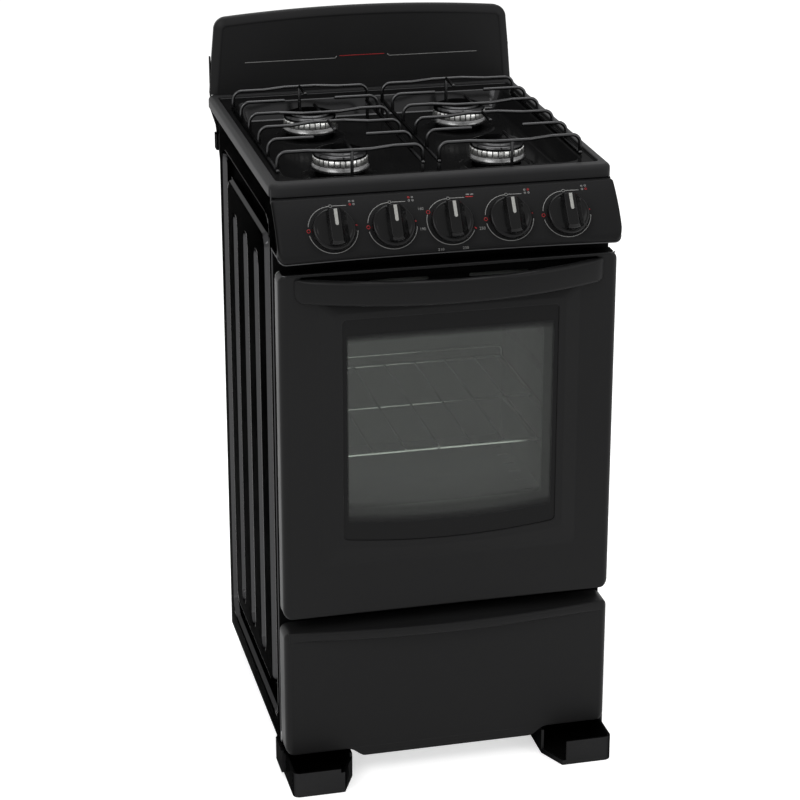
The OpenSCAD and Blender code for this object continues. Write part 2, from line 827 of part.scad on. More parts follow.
module gas_valves() {
    color("#b5964e") centred()
    for (k = [1 : 5]) at_knob(k)
        difference() {
            union() {
                translate([0, 0, valve_back]) cylinder(h = valve_nose - valve_back, r = valve_r);
                translate([0, 0, valve_back + 10]) cylinder(h = 14, r = valve_r + 2, $fn = 6);
            }
            translate([0, 0, valve_back + 12]) cylinder(h = 60, r = stem_d / 2 + 0.4);
        }
}

module gas_inlet() {
    p = manifold_pos();
    y1 = side_y1 + 34;
    color("#a9aaa8") centred() {
        wire([[inlet_x - inlet_r, p.x, p.y], [inlet_x, p.x, p.y], [inlet_x, p.x + 8, p.y]], 2 * inlet_r);
        rod([inlet_x, p.x + 8, p.y], [inlet_x, y1 - 12, p.y], 2 * inlet_r);
        translate([inlet_x, side_y1 + sheet, p.y]) rotate([-90, 0, 0]) cylinder(h = 9, r = 14, $fn = 6);
        translate([inlet_x, side_y1 + sheet, p.y]) rotate([-90, 0, 0])
            cylinder(h = y1 - side_y1 - sheet, r = inlet_thread_r);
    }
}
inlet_thread_r = 10.4;

// Burner tubes from the valves, and the oven's own tube down the right side
module supply_tubes() {
    rise = valve_r + tube_r + 0.9;
    h = valve_back + 17;
    vy = face_cy - (panel_r + h) * cos(knob_angle) + rise * sin(knob_angle);
    vz = face_cz + (panel_r + h) * sin(knob_angle) + rise * cos(knob_angle);
    cup_z = floor_z - 12;
    color("#c4c6c4") centred() {
        for (sx = [-1, 1], row = [0, 1]) {
            a = [sx * (row + 1) * knob_pitch, vy, vz + 2];
            b = [sx * burner_x, burner_y[row], cup_z];
            u = (b - a) / norm(b - a);
            rod(a, b - u * (cup_r + 0.9), 2 * tube_r);
        }
        past = 0.7 * tube_r;
        feed = [[0, vy, vz], [0, manifold_pos().x + manifold_r + tube_r + 4, vz - 6],
                [0, feed_y, oven_z1 + 40], [feed_x, feed_y, oven_z1 + 40], [feed_x, feed_y, oven_burner_z],
                [oven_w / 2 + 1 + past, feed_y, oven_burner_z]];
        for (i = [0 : len(feed) - 2]) bar(feed[i], feed[i + 1], 2 * tube_r - 0.2 * (i % 2), past);
    }
}
feed_x = oven_w / 2 + 20;

module valve_collar(k) {
    color("#b5964e") centred()
    at_knob(k) translate([0, 0, valve_nose + push_travel + 1])
        difference() {
            cylinder(h = 5, r = stem_hole_r - 1);
            translate([0, 0, -1]) cylinder(h = 7, r = stem_d / 2 + pin_play);
        }
}

module valve_collar_1() valve_collar(1);
module valve_collar_2() valve_collar(2);
module valve_collar_3() valve_collar(3);
module valve_collar_4() valve_collar(4);
module valve_collar_5() valve_collar(5);

module valve_stem(k) {
    color("#c4c6c4") centred()
    at_knob(k) translate([0, 0, valve_back + 12 + push_travel + 1])
        difference() {
            cylinder(h = knob_disc_h + knob_gap - 3 - (valve_back + 12 + push_travel + 1), d = stem_d);
            translate([stem_d / 2 - 1, -5, 38]) cube([5, 10, 40]);
        }
}

module valve_stem_1() valve_stem(1);
module valve_stem_2() valve_stem(2);
module valve_stem_3() valve_stem(3);
module valve_stem_4() valve_stem(4);
module valve_stem_5() valve_stem(5);

module knob(k) {
    r = knob_d / 2;
    grip_r = 3;
    base_z = knob_gap + push_travel;
    top_z = knob_gap + knob_disc_h;
    color("#181818") centred()
    at_knob(k)
        difference() {
            union() {
                rotate_extrude($fn = 96)
                    polygon([[0, base_z], [r - 1, base_z], [r, base_z + 1], [r - 1, top_z - 2],
                             [r - 4, top_z], [0, top_z]]);
                hull() for (s = [-1, 1], v = [-1, 1]) {
                    translate([s * (grip_w / 2 - grip_r), v * (r - 8), top_z - 1])
                        cylinder(h = 1, r = grip_r, $fn = 32);
                    translate([s * (grip_w / 4), v * (r - 11), top_z + grip_h - 2])
                        sphere(r = 2, $fn = 32);
                }
            }
            cylinder(h = top_z - 2, r = stem_d / 2 + pin_play);
            difference() {
                cylinder(h = top_z - 3, r = r - 3);
                cylinder(h = top_z, r = stem_d / 2 + 4);
            }
        }
}

module knob_1() knob(1);
module knob_2() knob(2);
module knob_3() knob(3);
module knob_4() knob(4);
module knob_5() knob(5);

// ---- door ----------------------------------------------------------------

// Block with rounded upright front edges and rounded corners seen from the front
module front_block(z0, z1, y1, inset) {
    x = half_w - inset;
    intersection() {
        along_z(z0 + inset, z1 - z0 - 2 * inset)
            difference() {
                round_rect([-x, inset], [x, y1 + edge_r], edge_r - inset);
                translate([-half_w, y1]) square([body_w, 2 * edge_r]);
            }
        along_y(inset, y1 - inset) round_rect([-x, z0 + inset], [x, z1 - inset], 8 - inset);
    }
}

// Window outline with a bowed lower edge, grown by g
module window_outline(g) {
    x = window_w / 2 + g;
    low = window_z0 - g - window_sag;
    bow_r = (pow(x, 2) + pow(window_sag, 2)) / (2 * window_sag);
    intersection() {
        round_rect([-x, low], [x, window_z1 + g], 8);
        translate([0, low + bow_r]) circle(bow_r, $fn = 720);
    }
}

module surround_block(t) {
    x = window_w / 2 + surround_flat - t;
    z0 = window_z0 - window_sag - surround_flat + t;
    z1 = window_z1 + surround_flat - t;
    run = surround_run;
    hull() {
        box([-x - run, skin - 0.5, z0 - run], [x + run, skin, z1 + run]);
        box([-x, t - surround_rise, z0], [x, t - surround_rise + 0.5, z1]);
    }
}

module hinge_notch()
    both_sides() box([hinge_x - 12, hinge_y - 16, door_z0 - 1], [hinge_x + 5, front_y, hinge_z + 16]);

module door_outer_panel() {
    pz1 = handle_z1 - 1.5;
    pz0 = handle_z1 - handle_h + 5;
    color("#242424") centred()
    difference() {
        union() {
            difference() {
                front_block(door_z0, door_z1, door_shell, 0);
                front_block(door_z0, door_z1, door_shell + 1, skin);
                box([skin - surround_x, -1, surround_z[0] + skin], [surround_x - skin, 4, surround_z[1] - skin]);
            }
            difference() {
                surround_block(0);
                surround_block(skin);
            }
            box([-pocket_w / 2 - skin, 0.5, pz0 - skin], [pocket_w / 2 + skin, pocket_d + skin, pz1 + skin]);
        }
        along_y(-surround_rise - 1, 20) window_outline(0);
        box([-pocket_w / 2, -surround_rise - 1, pz0], [pocket_w / 2, pocket_d, pz1]);
        for (sx = [-1, 1])
            box([sx * 75 - 45, pocket_d - 1, handle_z1 - 22], [sx * 75 + 45, pocket_d + skin + 1, handle_z1 - 16]);
        hinge_notch();
    }
}

module door_inner_panel() {
    x = half_w - 1;
    px = half_w - plug_side;
    z0 = door_z0 + 1;
    z1 = door_z1 - 1;
    pz0 = door_z0 + plug_end + 8;
    pz1 = oven_z1 + 14;
    y0 = door_shell + touch;
    y1 = door_shell + door_plug;
    open_z = [window_z0 + inner_margin, window_z1 - inner_margin - 10];
    color("#5c605d") centred()
    difference() {
        union() {
            along_y(y0, sheet) round_rect([-x, z0], [x, z1], 8);
            along_y(y0, y1 - y0) round_rect([-px, pz0], [px, pz1], 8);
        }
        along_y(y0 - 1, door_plug + 1 - sheet) round_rect([sheet - px, pz0 + sheet], [px - sheet, pz1 - sheet], 7);
        along_y(y0 - 1, door_plug + 2) round_rect([-inner_open_w / 2, open_z[0]], [inner_open_w / 2, open_z[1]], 8);
        hinge_notch();
    }
}

module door_outer_glass() {
    color("#202422", 0.5) centred()
    along_y(skin - surround_rise + touch, glass_t) window_outline(glass_lap);
}

module door_inner_glass() {
    y1 = door_shell + door_plug - sheet - touch;
    x = inner_open_w / 2 + 14;
    color("#2a2e2c", 0.4) centred()
    along_y(y1 - glass_t, glass_t)
        round_rect([-x, window_z0 + inner_margin - 14], [x, window_z1 - inner_margin + 4], 4);
}

module door_seal() {
    r = 1.8;
    y = door_shell + door_plug + r;
    x = oven_w / 2 + 7;
    z0 = oven_z0 - 7;
    z1 = oven_z1 + 7;
    color("#2c2c2c") centred()
    wire([[-x, y, z0], [x, y, z0], [x, y, z1], [-x, y, z1], [-x, y, z0]], 2 * r);
}

module door_handle() {
    cy = handle_r - handle_reach;
    color("#1e1e1e") centred()
    intersection() {
        translate([0, cy, handle_z1 - handle_h])
            difference() {
                cylinder(h = handle_h, r = handle_r, $fn = 360);
                translate([0, 0, -1]) cylinder(h = handle_h + 2, r = handle_r - handle_t, $fn = 360);
            }
        along_y(-handle_reach - 1, handle_reach + 1)
            round_rect([-handle_w / 2 + 9, handle_z1 - handle_h], [handle_w / 2 - 9, handle_z1], 8);
    }
}

// Arms inside the door that turn on the sockets' pins
module hinge_arms() {
    color("#8f9190") centred()
    both_sides()
        difference() {
            union() {
                translate([hinge_x - 2, hinge_y, hinge_z]) rotate([0, 90, 0]) cylinder(h = 4, r = 9);
                box([hinge_x - 2, hinge_y - 9, hinge_z], [hinge_x + 2, hinge_y, hinge_z + 60]);
                box([hinge_x - 2, hinge_y - 9, hinge_z + 18], [hinge_x + 2, door_shell, hinge_z + 60]);
            }
            translate([hinge_x - 3, hinge_y, hinge_z])
                rotate([0, 90, 0]) cylinder(h = 6, r = hinge_pin_r + pin_play);
        }
}

// Brackets on the front frame that carry the hinge pins
module hinge_sockets() {
    color("#8f9190") centred()
    both_sides() {
        translate([hinge_x - 9, hinge_y, hinge_z]) rotate([0, 90, 0]) cylinder(h = 13, r = hinge_pin_r);
        translate([hinge_x - 9, hinge_y, hinge_z]) rotate([0, 90, 0]) cylinder(h = 4, r = 8);
        box([hinge_x - 9, hinge_y, hinge_z - 8], [hinge_x - 5, front_y, hinge_z + 8]);
        box([hinge_x - 9, front_y - 2, hinge_z - 12], [hinge_x + 3, front_y, hinge_z + 14]);
    }
}

// ---- drawer --------------------------------------------------------------

module drawer_front() {
    lw = half_w - 6;
    r = (pow(lw, 2) + pow(lip_bow, 2)) / (2 * lip_bow);
    tongue = half_w - 110;
    color("#222222") centred() {
        difference() {
            union() {
                front_block(drawer_z0, drawer_z1, front_d, 0);
                intersection() {
                    translate([0, r - lip_bow, drawer_z1 - lip_h]) cylinder(h = lip_h, r = r, $fn = 720);
                    box([-lw, -lip_bow - 1, drawer_z1 - lip_h], [lw, 6, drawer_z1]);
                }
            }
            front_block(drawer_z0, drawer_z1, front_d + 1, skin);
        }
        along_y(0, skin)
            polygon([[-tongue - 5, drawer_z0 + 1], [-tongue, drawer_z0 - 13], [tongue, drawer_z0 - 13],
                     [tongue + 5, drawer_z0 + 1]]);
    }
}

module drawer_tray() {
    x = tray_w / 2;
    z0 = runner_z + touch;
    y1 = tray_y0 + tray_d;
    color("#7d7f7e") centred()
    difference() {
        box([-x, tray_y0, z0], [x, y1, z0 + tray_h]);
        box([sheet - x, tray_y0 + sheet, z0 + sheet], [x - sheet, y1 - sheet, z0 + tray_h + 1]);
    }
}

module drawer_runners() {
    x1 = half_w - sheet;
    color("#8f9190") centred()
    both_sides() {
        box([tray_w / 2 - 12, side_y0 + sheet, runner_z - sheet], [x1, side_y1 - 2 * sheet, runner_z]);
        box([x1 - sheet, side_y0 + sheet, runner_z - 12], [x1, side_y1 - 2 * sheet, runner_z + 6]);
    }
}

// ---- feet and fasteners --------------------------------------------------

// Outline of a foot seen from above: straight front, rounded outer corner and a slanted inner corner
module foot_plan(reach)
    polygon(concat([[foot_x0 + foot_slant * reach / toe, -reach]],
                   [for (a = [-90 : 15 : 0]) [foot_x1 - foot_corner + foot_corner * cos(a),
                                              foot_corner - reach + foot_corner * sin(a)]],
                   [[foot_x1, foot_d], [foot_x0, foot_d], [foot_x0, 0]]));
foot_slant = 21;

// Moulded foot: an open tray whose slanted corner is cut down to slant_h, and a deck under the body
module foot(reach, slant_h) {
    floor_t = 4;
    x = foot_x0 + foot_slant * reach / toe;
    difference() {
        union() {
            difference() {
                along_z(0, foot_h) foot_plan(reach);
                along_z(floor_t, foot_h) offset(delta = -foot_wall) foot_plan(reach);
            }
            box([foot_x0 + 1, front_y, foot_h - floor_t], [foot_x1 - 1, foot_d - 1, foot_h]);
        }
        along_z(slant_h, foot_h)
            polygon([[x, -reach - 1], [x + 6, -reach - 1], [x + 6, foot_wall - reach], [foot_x0 + foot_wall + 3, 0],
                     [foot_x0 - 1, 0], [foot_x0 - 1, -reach - 1]]);
    }
}

// Ear of a front foot, which lies against the side panel
module foot_ear() {
    ear_t = 4;
    box([foot_x1 - 2, 22, 8], [half_w + touch + ear_t, 68, foot_h]);
    box([half_w + touch, 22, 8], [half_w + touch + ear_t, 68, foot_h + 6]);
}

module foot_front_right() { color("#191919") centred() { foot(toe, 8); foot_ear(); } }
module foot_front_left() { color("#191919") centred() mirror([1, 0, 0]) { foot(toe, foot_h - 6); foot_ear(); } }
module rear_foot()
    translate([-rear_foot_in, side_y1 + front_y, 0]) mirror([0, 1, 0]) {
        foot(toe * 0.4, 8);
        box([foot_x0 + 6, front_y + 6, foot_h - 1], [foot_x1 - 6, foot_d - 6, foot_h + sheet - touch]);
    }
module foot_rear_right() { color("#191919") centred() rear_foot(); }
module foot_rear_left() { color("#191919") centred() mirror([1, 0, 0]) rear_foot(); }

module body_screws() {
    color("#b0b2b0") centred()
    for (sx = [-1, 1], i = [0 : 4])
        translate([sx * (half_w - 8), side_y1 + sheet, foot_h + 30 + i * (body_h - 166) / 4])
            rotate([-90, 0, 0])
                difference() {
                    cylinder(h = 2.4, r = 4);
                    for (a = [0, 90]) rotate([0, 0, a]) translate([-2.5, -0.4, 1.2]) cube([5, 0.8, 2]);
                }
}

// ---- node selection ------------------------------------------------------

side_panel_left();
side_panel_right();
rear_panel();
base_pan();
front_frame();
oven_cavity();
oven_insulation();
oven_floor_plate();
oven_burner();
oven_rack();
thermostat_bulb();
flue_duct();
cooktop();
backsplash_front();
backsplash_back();
rear_brackets();
control_panel();
gas_manifold();
gas_valves();
gas_inlet();
supply_tubes();
valve_collar_1();
valve_collar_2();
valve_collar_3();
valve_collar_4();
valve_collar_5();
valve_stem_1();
valve_stem_2();
valve_stem_3();
valve_stem_4();
valve_stem_5();
knob_1();
knob_2();
knob_3();
knob_4();
knob_5();
burner_heads();
burner_cap_front_left();
burner_cap_front_right();
burner_cap_rear_left();
burner_cap_rear_right();
grate_left();
grate_right();
door_outer_panel();
door_inner_panel();
door_outer_glass();
door_inner_glass();
door_seal();
door_handle();
hinge_arms();
hinge_sockets();
drawer_front();
drawer_tray();
drawer_runners();
foot_front_left();
foot_front_right();
foot_rear_left();
foot_rear_right();
body_screws();
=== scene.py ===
"""Dresses the freestanding gas range: enamelled shells, wire grates, burners, knobs, door and drawer."""

import json
import math

import bmesh
import bpy
from bpy.props import FloatProperty, FloatVectorProperty, IntProperty, PointerProperty
from bpy.types import Operator, Panel, PropertyGroup
from mathutils import Matrix, Vector
from mathutils.geometry import tessellate_polygon

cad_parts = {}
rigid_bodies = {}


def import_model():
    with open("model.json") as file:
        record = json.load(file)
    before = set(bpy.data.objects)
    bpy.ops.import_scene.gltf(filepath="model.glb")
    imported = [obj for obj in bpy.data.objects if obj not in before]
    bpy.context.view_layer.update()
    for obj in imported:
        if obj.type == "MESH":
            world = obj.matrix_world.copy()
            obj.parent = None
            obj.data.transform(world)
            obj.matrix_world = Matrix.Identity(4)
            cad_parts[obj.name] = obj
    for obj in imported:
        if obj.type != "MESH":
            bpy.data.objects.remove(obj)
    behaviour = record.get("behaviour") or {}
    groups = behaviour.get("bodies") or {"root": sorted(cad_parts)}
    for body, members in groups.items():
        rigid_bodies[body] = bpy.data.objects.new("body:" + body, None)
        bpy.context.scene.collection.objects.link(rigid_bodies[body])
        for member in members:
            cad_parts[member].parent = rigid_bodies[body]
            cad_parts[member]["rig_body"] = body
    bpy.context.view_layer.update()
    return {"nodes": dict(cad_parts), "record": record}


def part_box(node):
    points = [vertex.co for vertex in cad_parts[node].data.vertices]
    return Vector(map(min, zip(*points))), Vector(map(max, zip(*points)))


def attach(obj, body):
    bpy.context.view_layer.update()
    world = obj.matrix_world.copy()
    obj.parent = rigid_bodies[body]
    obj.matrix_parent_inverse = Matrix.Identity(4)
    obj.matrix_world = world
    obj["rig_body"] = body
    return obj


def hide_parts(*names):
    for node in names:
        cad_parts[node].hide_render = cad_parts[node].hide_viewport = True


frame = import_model()

bl_info = {
    "name": "Gas Range Dresser",
    "version": (1, 0, 0),
    "blender": (4, 5, 0),
    "location": "3D View > Sidebar > Gas Range",
    "description": "Builds the enamelled shells, burners, grates, knobs, door and drawer of a gas range",
    "category": "Add Mesh",
}

MM = 0.001
# Plane of the oven door's face: every y below is counted backwards from it, in millimetres
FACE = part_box("front_frame")[0][1] - 46 * MM


def lo(node):
    """Lowest corner of a CAD node in millimetres, with y counted from the door's face."""
    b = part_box(node)[0]
    return Vector((b[0] / MM, (b[1] - FACE) / MM, b[2] / MM))


def hi(node):
    """Highest corner of a CAD node, measured in the same way."""
    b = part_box(node)[1]
    return Vector((b[0] / MM, (b[1] - FACE) / MM, b[2] / MM))


HALF = hi("drawer_front").x
COOK_LO, COOK_HI = lo("cooktop"), hi("cooktop")
RIM_Z = COOK_HI.z
FLOOR_Z = COOK_LO.z + 1.5
LEDGE_Z = FLOOR_Z + 29
DOOR_LO, DOOR_HI = lo("door_outer_panel"), hi("door_outer_panel")
BURNER_X = (hi("burner_cap_front_right").x + lo("burner_cap_front_right").x) / 2
BURNER_Y = [
    (hi("burner_cap_%s_right" % row).y + lo("burner_cap_%s_right" % row).y) / 2
    for row in ("front", "rear")
]
HEAD_TOP = hi("burner_heads").z
BURNERS = {
    "front_left": (-1, 0),
    "front_right": (1, 0),
    "rear_left": (-1, 1),
    "rear_right": (1, 1),
}
# Pressing of a side panel: width of a sloping wall, margins below and above the loop, the
# loop's width and corner radius, half the width of a groove and the grooves' spacing
PRESS_RUN = 4.2
PRESS_LOW, PRESS_HIGH = 35.0, 47.0
CHANNEL_W, LOOP_R = 42, 32.0
GROOVE_HALF, GROOVE_PITCH = 18, 88.6
# Points on a full turn of a lathed piece, and steps round one corner of a front panel
ROUND_STEPS = 96
CORNER_STEPS = 8


# ---- properties ------------------------------------------------------------


class RangeSizes(PropertyGroup):
    wire: FloatProperty(
        name="Grate wire", description="Diameter of the grate wire", default=0.0055, unit="LENGTH"
    )
    wire_bend: FloatProperty(
        name="Wire bend", description="Radius of the bends in the grate wire", default=0.013, unit="LENGTH"
    )
    flame_slots: IntProperty(
        name="Flame slots", description="Slots round one burner", default=30, min=12, max=48
    )
    rack_pitch: FloatProperty(
        name="Rack pitch", description="Distance between the rack's wires", default=0.051, unit="LENGTH"
    )
    pressing: FloatProperty(
        name="Side pressing", description="Depth of the channels in the side panels", default=0.007, unit="LENGTH"
    )
    rim_fillet: FloatProperty(
        name="Rim fillet", description="Radius of the cooktop's rounded edge", default=0.007, unit="LENGTH"
    )


class FrontSizes(PropertyGroup):
    edge: FloatProperty(
        name="Upright edge", description="Radius of the door's and drawer's upright edges", default=0.011, unit="LENGTH"
    )
    surround: FloatProperty(
        name="Surround", description="How far the window surround stands proud", default=0.006, unit="LENGTH"
    )
    handle_edge: FloatProperty(
        name="Handle edge", description="Radius of the handle band's long edges", default=0.006, unit="LENGTH"
    )
    print_line: FloatProperty(
        name="Printed line", description="Width of the printed dial lines", default=0.0011, unit="LENGTH"
    )
    fade: FloatProperty(
        name="Glass fade", description="Width over which the window's dark border fades", default=0.012, unit="LENGTH"
    )


class RangeColours(PropertyGroup):
    enamel: FloatVectorProperty(
        name="Enamel", description="Colour of the cooktop's enamel", subtype="COLOR", default=(0.028, 0.028, 0.02856)
    )
    paint: FloatVectorProperty(
        name="Paint",
        description="Colour of the door, drawer, backsplash and control panel",
        subtype="COLOR",
        default=(0.0125, 0.0125, 0.0128),
    )
    plastic: FloatVectorProperty(
        name="Plastic", description="Colour of the knobs", subtype="COLOR", default=(0.008, 0.008, 0.0082)
    )
    oven: FloatVectorProperty(
        name="Oven", description="Colour of the oven's enamel", subtype="COLOR", default=(0.2, 0.21, 0.2)
    )
    printed: FloatVectorProperty(
        name="Print", description="Colour of the printed lines", subtype="COLOR", default=(0.2, 0.2, 0.195)
    )
    red: FloatVectorProperty(
        name="Red print", description="Colour of the red marks", subtype="COLOR", default=(0.3, 0.012, 0.014)
    )


def sizes():
    return bpy.context.scene.range_sizes


def front():
    return bpy.context.scene.front_sizes


def colours():
    return bpy.context.scene.range_colours


# ---- materials -------------------------------------------------------------


class Finish:
    """A principled material whose noise, bump and colour patterns read object coordinates."""

    def __init__(self, name, colour, rough, spec=0.3, metal=0.0):
        self.mat = bpy.data.materials.new(name)
        self.mat.use_nodes = True
        self.tree = self.mat.node_tree
        self.links = self.tree.links
        self.shader = self.tree.nodes["Principled BSDF"]
        self.shader.inputs["Base Color"].default_value = (*colour, 1)
        self.shader.inputs["Roughness"].default_value = rough
        self.shader.inputs["Metallic"].default_value = metal
        self.shader.inputs["Specular IOR Level"].default_value = spec
        self.mat.diffuse_color = (*colour, 1)
        self.colour = colour
        self.coord = self.node("ShaderNodeTexCoord")
        self.height = None

    def node(self, kind, **values):
        node = self.tree.nodes.new(kind)
        for key, value in values.items():
            setattr(node, key, value)
        return node

    def feed(self, socket, value):
        """Links another node's output to a socket, or sets a plain number on it."""
        if isinstance(value, (int, float)):
            socket.default_value = value
        else:
            self.links.new(value, socket)

    def axes(self):
        """The X, Y and Z of the object coordinates."""
        node = self.node("ShaderNodeSeparateXYZ")
        self.links.new(self.coord.outputs["Object"], node.inputs["Vector"])
        return node.outputs

    def calc(self, operation, *values):
        node = self.node("ShaderNodeMath", operation=operation)
        for socket, value in zip(node.inputs, values):
            self.feed(socket, value)
        return node.outputs["Value"]

    def blend(self, fac, first, second):
        """Mixes two shaders; at 0 only the first is seen."""
        node = self.node("ShaderNodeMixShader")
        for socket, value in zip(node.inputs, (fac, first, second)):
            self.feed(socket, value)
        return node.outputs["Shader"]

    def noise(self, scale, detail=4.0, stretch=None):
        node = self.node("ShaderNodeTexNoise")
        node.inputs["Scale"].default_value = scale
        node.inputs["Detail"].default_value = detail
        if stretch:
            mapping = self.node("ShaderNodeMapping")
            mapping.inputs["Scale"].default_value = stretch
            self.links.new(self.coord.outputs["Object"], mapping.inputs["Vector"])
            self.links.new(mapping.outputs["Vector"], node.inputs["Vector"])
        else:
            self.links.new(self.coord.outputs["Object"], node.inputs["Vector"])
        return node.outputs["Fac"]

    def cells(self, scale):
        node = self.node("ShaderNodeTexVoronoi", feature="F1")
        node.inputs["Scale"].default_value = scale
        self.links.new(self.coord.outputs["Object"], node.inputs["Vector"])
        return node

    def span(self, fac, low, high, a, b):
        """Maps low..high of a value onto a..b, held at both ends."""
        node = self.node("ShaderNodeMapRange")
        self.links.new(fac, node.inputs["Value"])
        for key, value in (("From Min", low), ("From Max", high), ("To Min", a), ("To Max", b)):
            node.inputs[key].default_value = value
        return node.outputs["Result"]

    def roughness(self, fac, a, b, low=0.3, high=0.7):
        self.links.new(self.span(fac, low, high, a, b), self.shader.inputs["Roughness"])
        return self

    def tint(self, fac, other, low=0.35, high=0.65):
        """Turns the base colour into another one as a value rises from low to high."""
        mix = self.node("ShaderNodeMix", data_type="RGBA")
        self.links.new(self.span(fac, low, high, 0, 1), mix.inputs["Factor"])
        mix.inputs[6].default_value = (*self.colour, 1)
        mix.inputs[7].default_value = (*other, 1)
        self.links.new(mix.outputs[2], self.shader.inputs["Base Color"])
        return self

    def bump(self, fac, strength, distance=0.0004):
        node = self.node("ShaderNodeBump")
        node.inputs["Strength"].default_value = strength
        node.inputs["Distance"].default_value = distance
        self.links.new(fac, node.inputs["Height"])
        if self.height is not None:
            self.links.new(self.height, node.inputs["Normal"])
        self.height = node.outputs["Normal"]
        self.links.new(self.height, self.shader.inputs["Normal"])
        return self


FINISHES = {}


def near(colour, gain):
    """The same colour, lighter or darker."""
    return tuple(min(1.0, c * gain) for c in colour)


def black_enamel(name, shine, rough, rim=0.33, ripple=0.04):
    """Deep black enamel on sheet: dark at low angles, with bright lines on its turned edges."""
    f = Finish(name, (shine, shine, shine * 1.02), rough, 0.5, 1.0)
    f.shader.inputs["Specular Tint"].default_value = (rim, rim, rim, 1)
    f.roughness(f.noise(8, 4), rough * 0.8, rough * 1.25)
    f.tint(f.noise(380, 2), near(f.colour, 0.85), 0.5, 0.8)
    return f.bump(f.noise(150, 2), ripple, 0.0003).mat


def side_finish(name):
    """Black enamel whose upward-facing pressed walls, picked out by position, turn partly non-metallic and lighter: a
    painted highlight along the pressing.
    """
    f = Finish(name, (0.045, 0.045, 0.046), 0.1, 0.5, 1.0)
    f.shader.inputs["Specular Tint"].default_value = (0, 0, 0, 1)
    f.roughness(f.noise(8, 4), 0.085, 0.12)
    f.tint(f.noise(380, 2), near(f.colour, 0.85), 0.5, 0.8)
    axes = f.axes()

    def between(axis, low, high, soft):
        up = f.span(axis, low - soft, low, 0, 1)
        down = f.span(axis, high, high + soft, 1, 0)
        return f.calc("MULTIPLY", up, down)

    y0, y1, z0, z1, _ = press_lines(lo("side_panel_left"), hi("side_panel_left"))
    margin = 1.1
    walls = []
    for z, inset in ((z1 - CHANNEL_W, CHANNEL_W + 4), (z0, 14)):
        level = between(axes["Z"], (z + margin) * MM, (z + PRESS_RUN - margin) * MM, 0.0006)
        span = between(axes["Y"], FACE + (y0 + inset) * MM, FACE + (y1 - inset) * MM, 0.006)
        walls.append(f.calc("MULTIPLY", level, span))
    # painted highlight: the pressed walls found here are made partly non-metallic so they read lighter than the flats
    painted_highlight_walls = f.calc("MAXIMUM", *walls)
    f.links.new(f.span(painted_highlight_walls, 0, 1, 1, 0.66), f.shader.inputs["Metallic"])
    return f.bump(f.noise(150, 2), 0.01, 0.0003).mat


def cooktop_finish(name, colour, paint):
    """Satin on the rim, its outer faces and the ledge; deep gloss in the well."""
    f = Finish(name, colour, 0.16, 0.03, 1.0)
    f.shader.inputs["Specular Tint"].default_value = (0.24, 0.24, 0.24, 1)
    axes = f.axes()
    across = f.calc("ABSOLUTE", axes["X"])
    rim = f.span(axes["Z"], (LEDGE_Z + 1.0) * MM, (LEDGE_Z + 2.4) * MM, 0, 1)
    for axis, edge, inner in (
        (across, COOK_HI.x * MM, (COOK_HI.x - 8) * MM),
        (axes["Y"], FACE + COOK_LO.y * MM, FACE + (COOK_LO.y + 16) * MM),
        (axes["Y"], FACE + COOK_HI.y * MM, FACE + (COOK_HI.y - 16) * MM),
    ):
        turned = f.span(axis, min(edge, inner), max(edge, inner), int(edge < inner), int(edge > inner))
        rim = f.calc("MAXIMUM", rim, f.span(turned, 0.0, 0.1, 0, 1))
    f.tint(rim, paint, 0, 1)
    f.roughness(rim, 0.16, 0.42, 0, 1)
    f.links.new(f.span(rim, 0, 1, 0.8, 0), f.shader.inputs["Metallic"])
    return f.bump(f.noise(150, 2), 0.035, 0.0003).mat


def satin(name, colour, rough, spec=0.3, grain=0.12):
    """Sprayed satin paint: fine grain, soft variation in sheen and colour."""
    f = Finish(name, colour, rough, spec)
    f.roughness(f.noise(6, 4), rough * 0.88, rough * 1.15)
    f.tint(f.noise(3, 3), near(colour, 1.12))
    return f.bump(f.noise(900, 3), grain, 0.00012).mat


def moulded(name, colour, rough, spec=0.35, grain=0.3):
    """Injection-moulded plastic with a pebbled grain."""
    f = Finish(name, colour, rough, spec)
    f.roughness(f.noise(40, 3), rough * 0.9, rough * 1.15)
    f.tint(f.noise(12, 3), near(colour, 1.15))
    return f.bump(f.cells(900).outputs["Distance"], grain, 0.0001).mat


def galvanised(name, colour, rough):
    """Zinc sheet with its crystal spangle."""
    f = Finish(name, colour, rough, 0.5, 1.0)
    cells = f.cells(70)
    f.roughness(cells.outputs["Color"], rough * 0.75, rough * 1.3, 0.1, 0.9)
    f.tint(cells.outputs["Color"], near(colour, 0.8), 0.1, 0.9)
    return f.bump(f.noise(300, 3), 0.06, 0.0002).mat


def brushed(name, colour, rough, stretch):
    """Metal with fine drawn or turned lines."""
    f = Finish(name, colour, rough, 0.5, 1.0)
    lines = f.noise(160, 3, stretch)
    f.roughness(lines, rough * 0.8, rough * 1.3)
    f.tint(f.noise(30, 4), near(colour, 0.86))
    return f.bump(lines, 0.12, 0.0001).mat


def cast(name, colour, rough):
    """Cast and tumbled aluminium: sandy grain with slightly darker pores."""
    f = Finish(name, colour, rough, 0.5, 1.0)
    f.roughness(f.noise(60, 4), rough * 0.8, rough * 1.25)
    f.tint(f.noise(380, 3), near(colour, 0.62), 0.48, 0.75)
    return f.bump(f.noise(700, 3), 0.22, 0.00025).mat


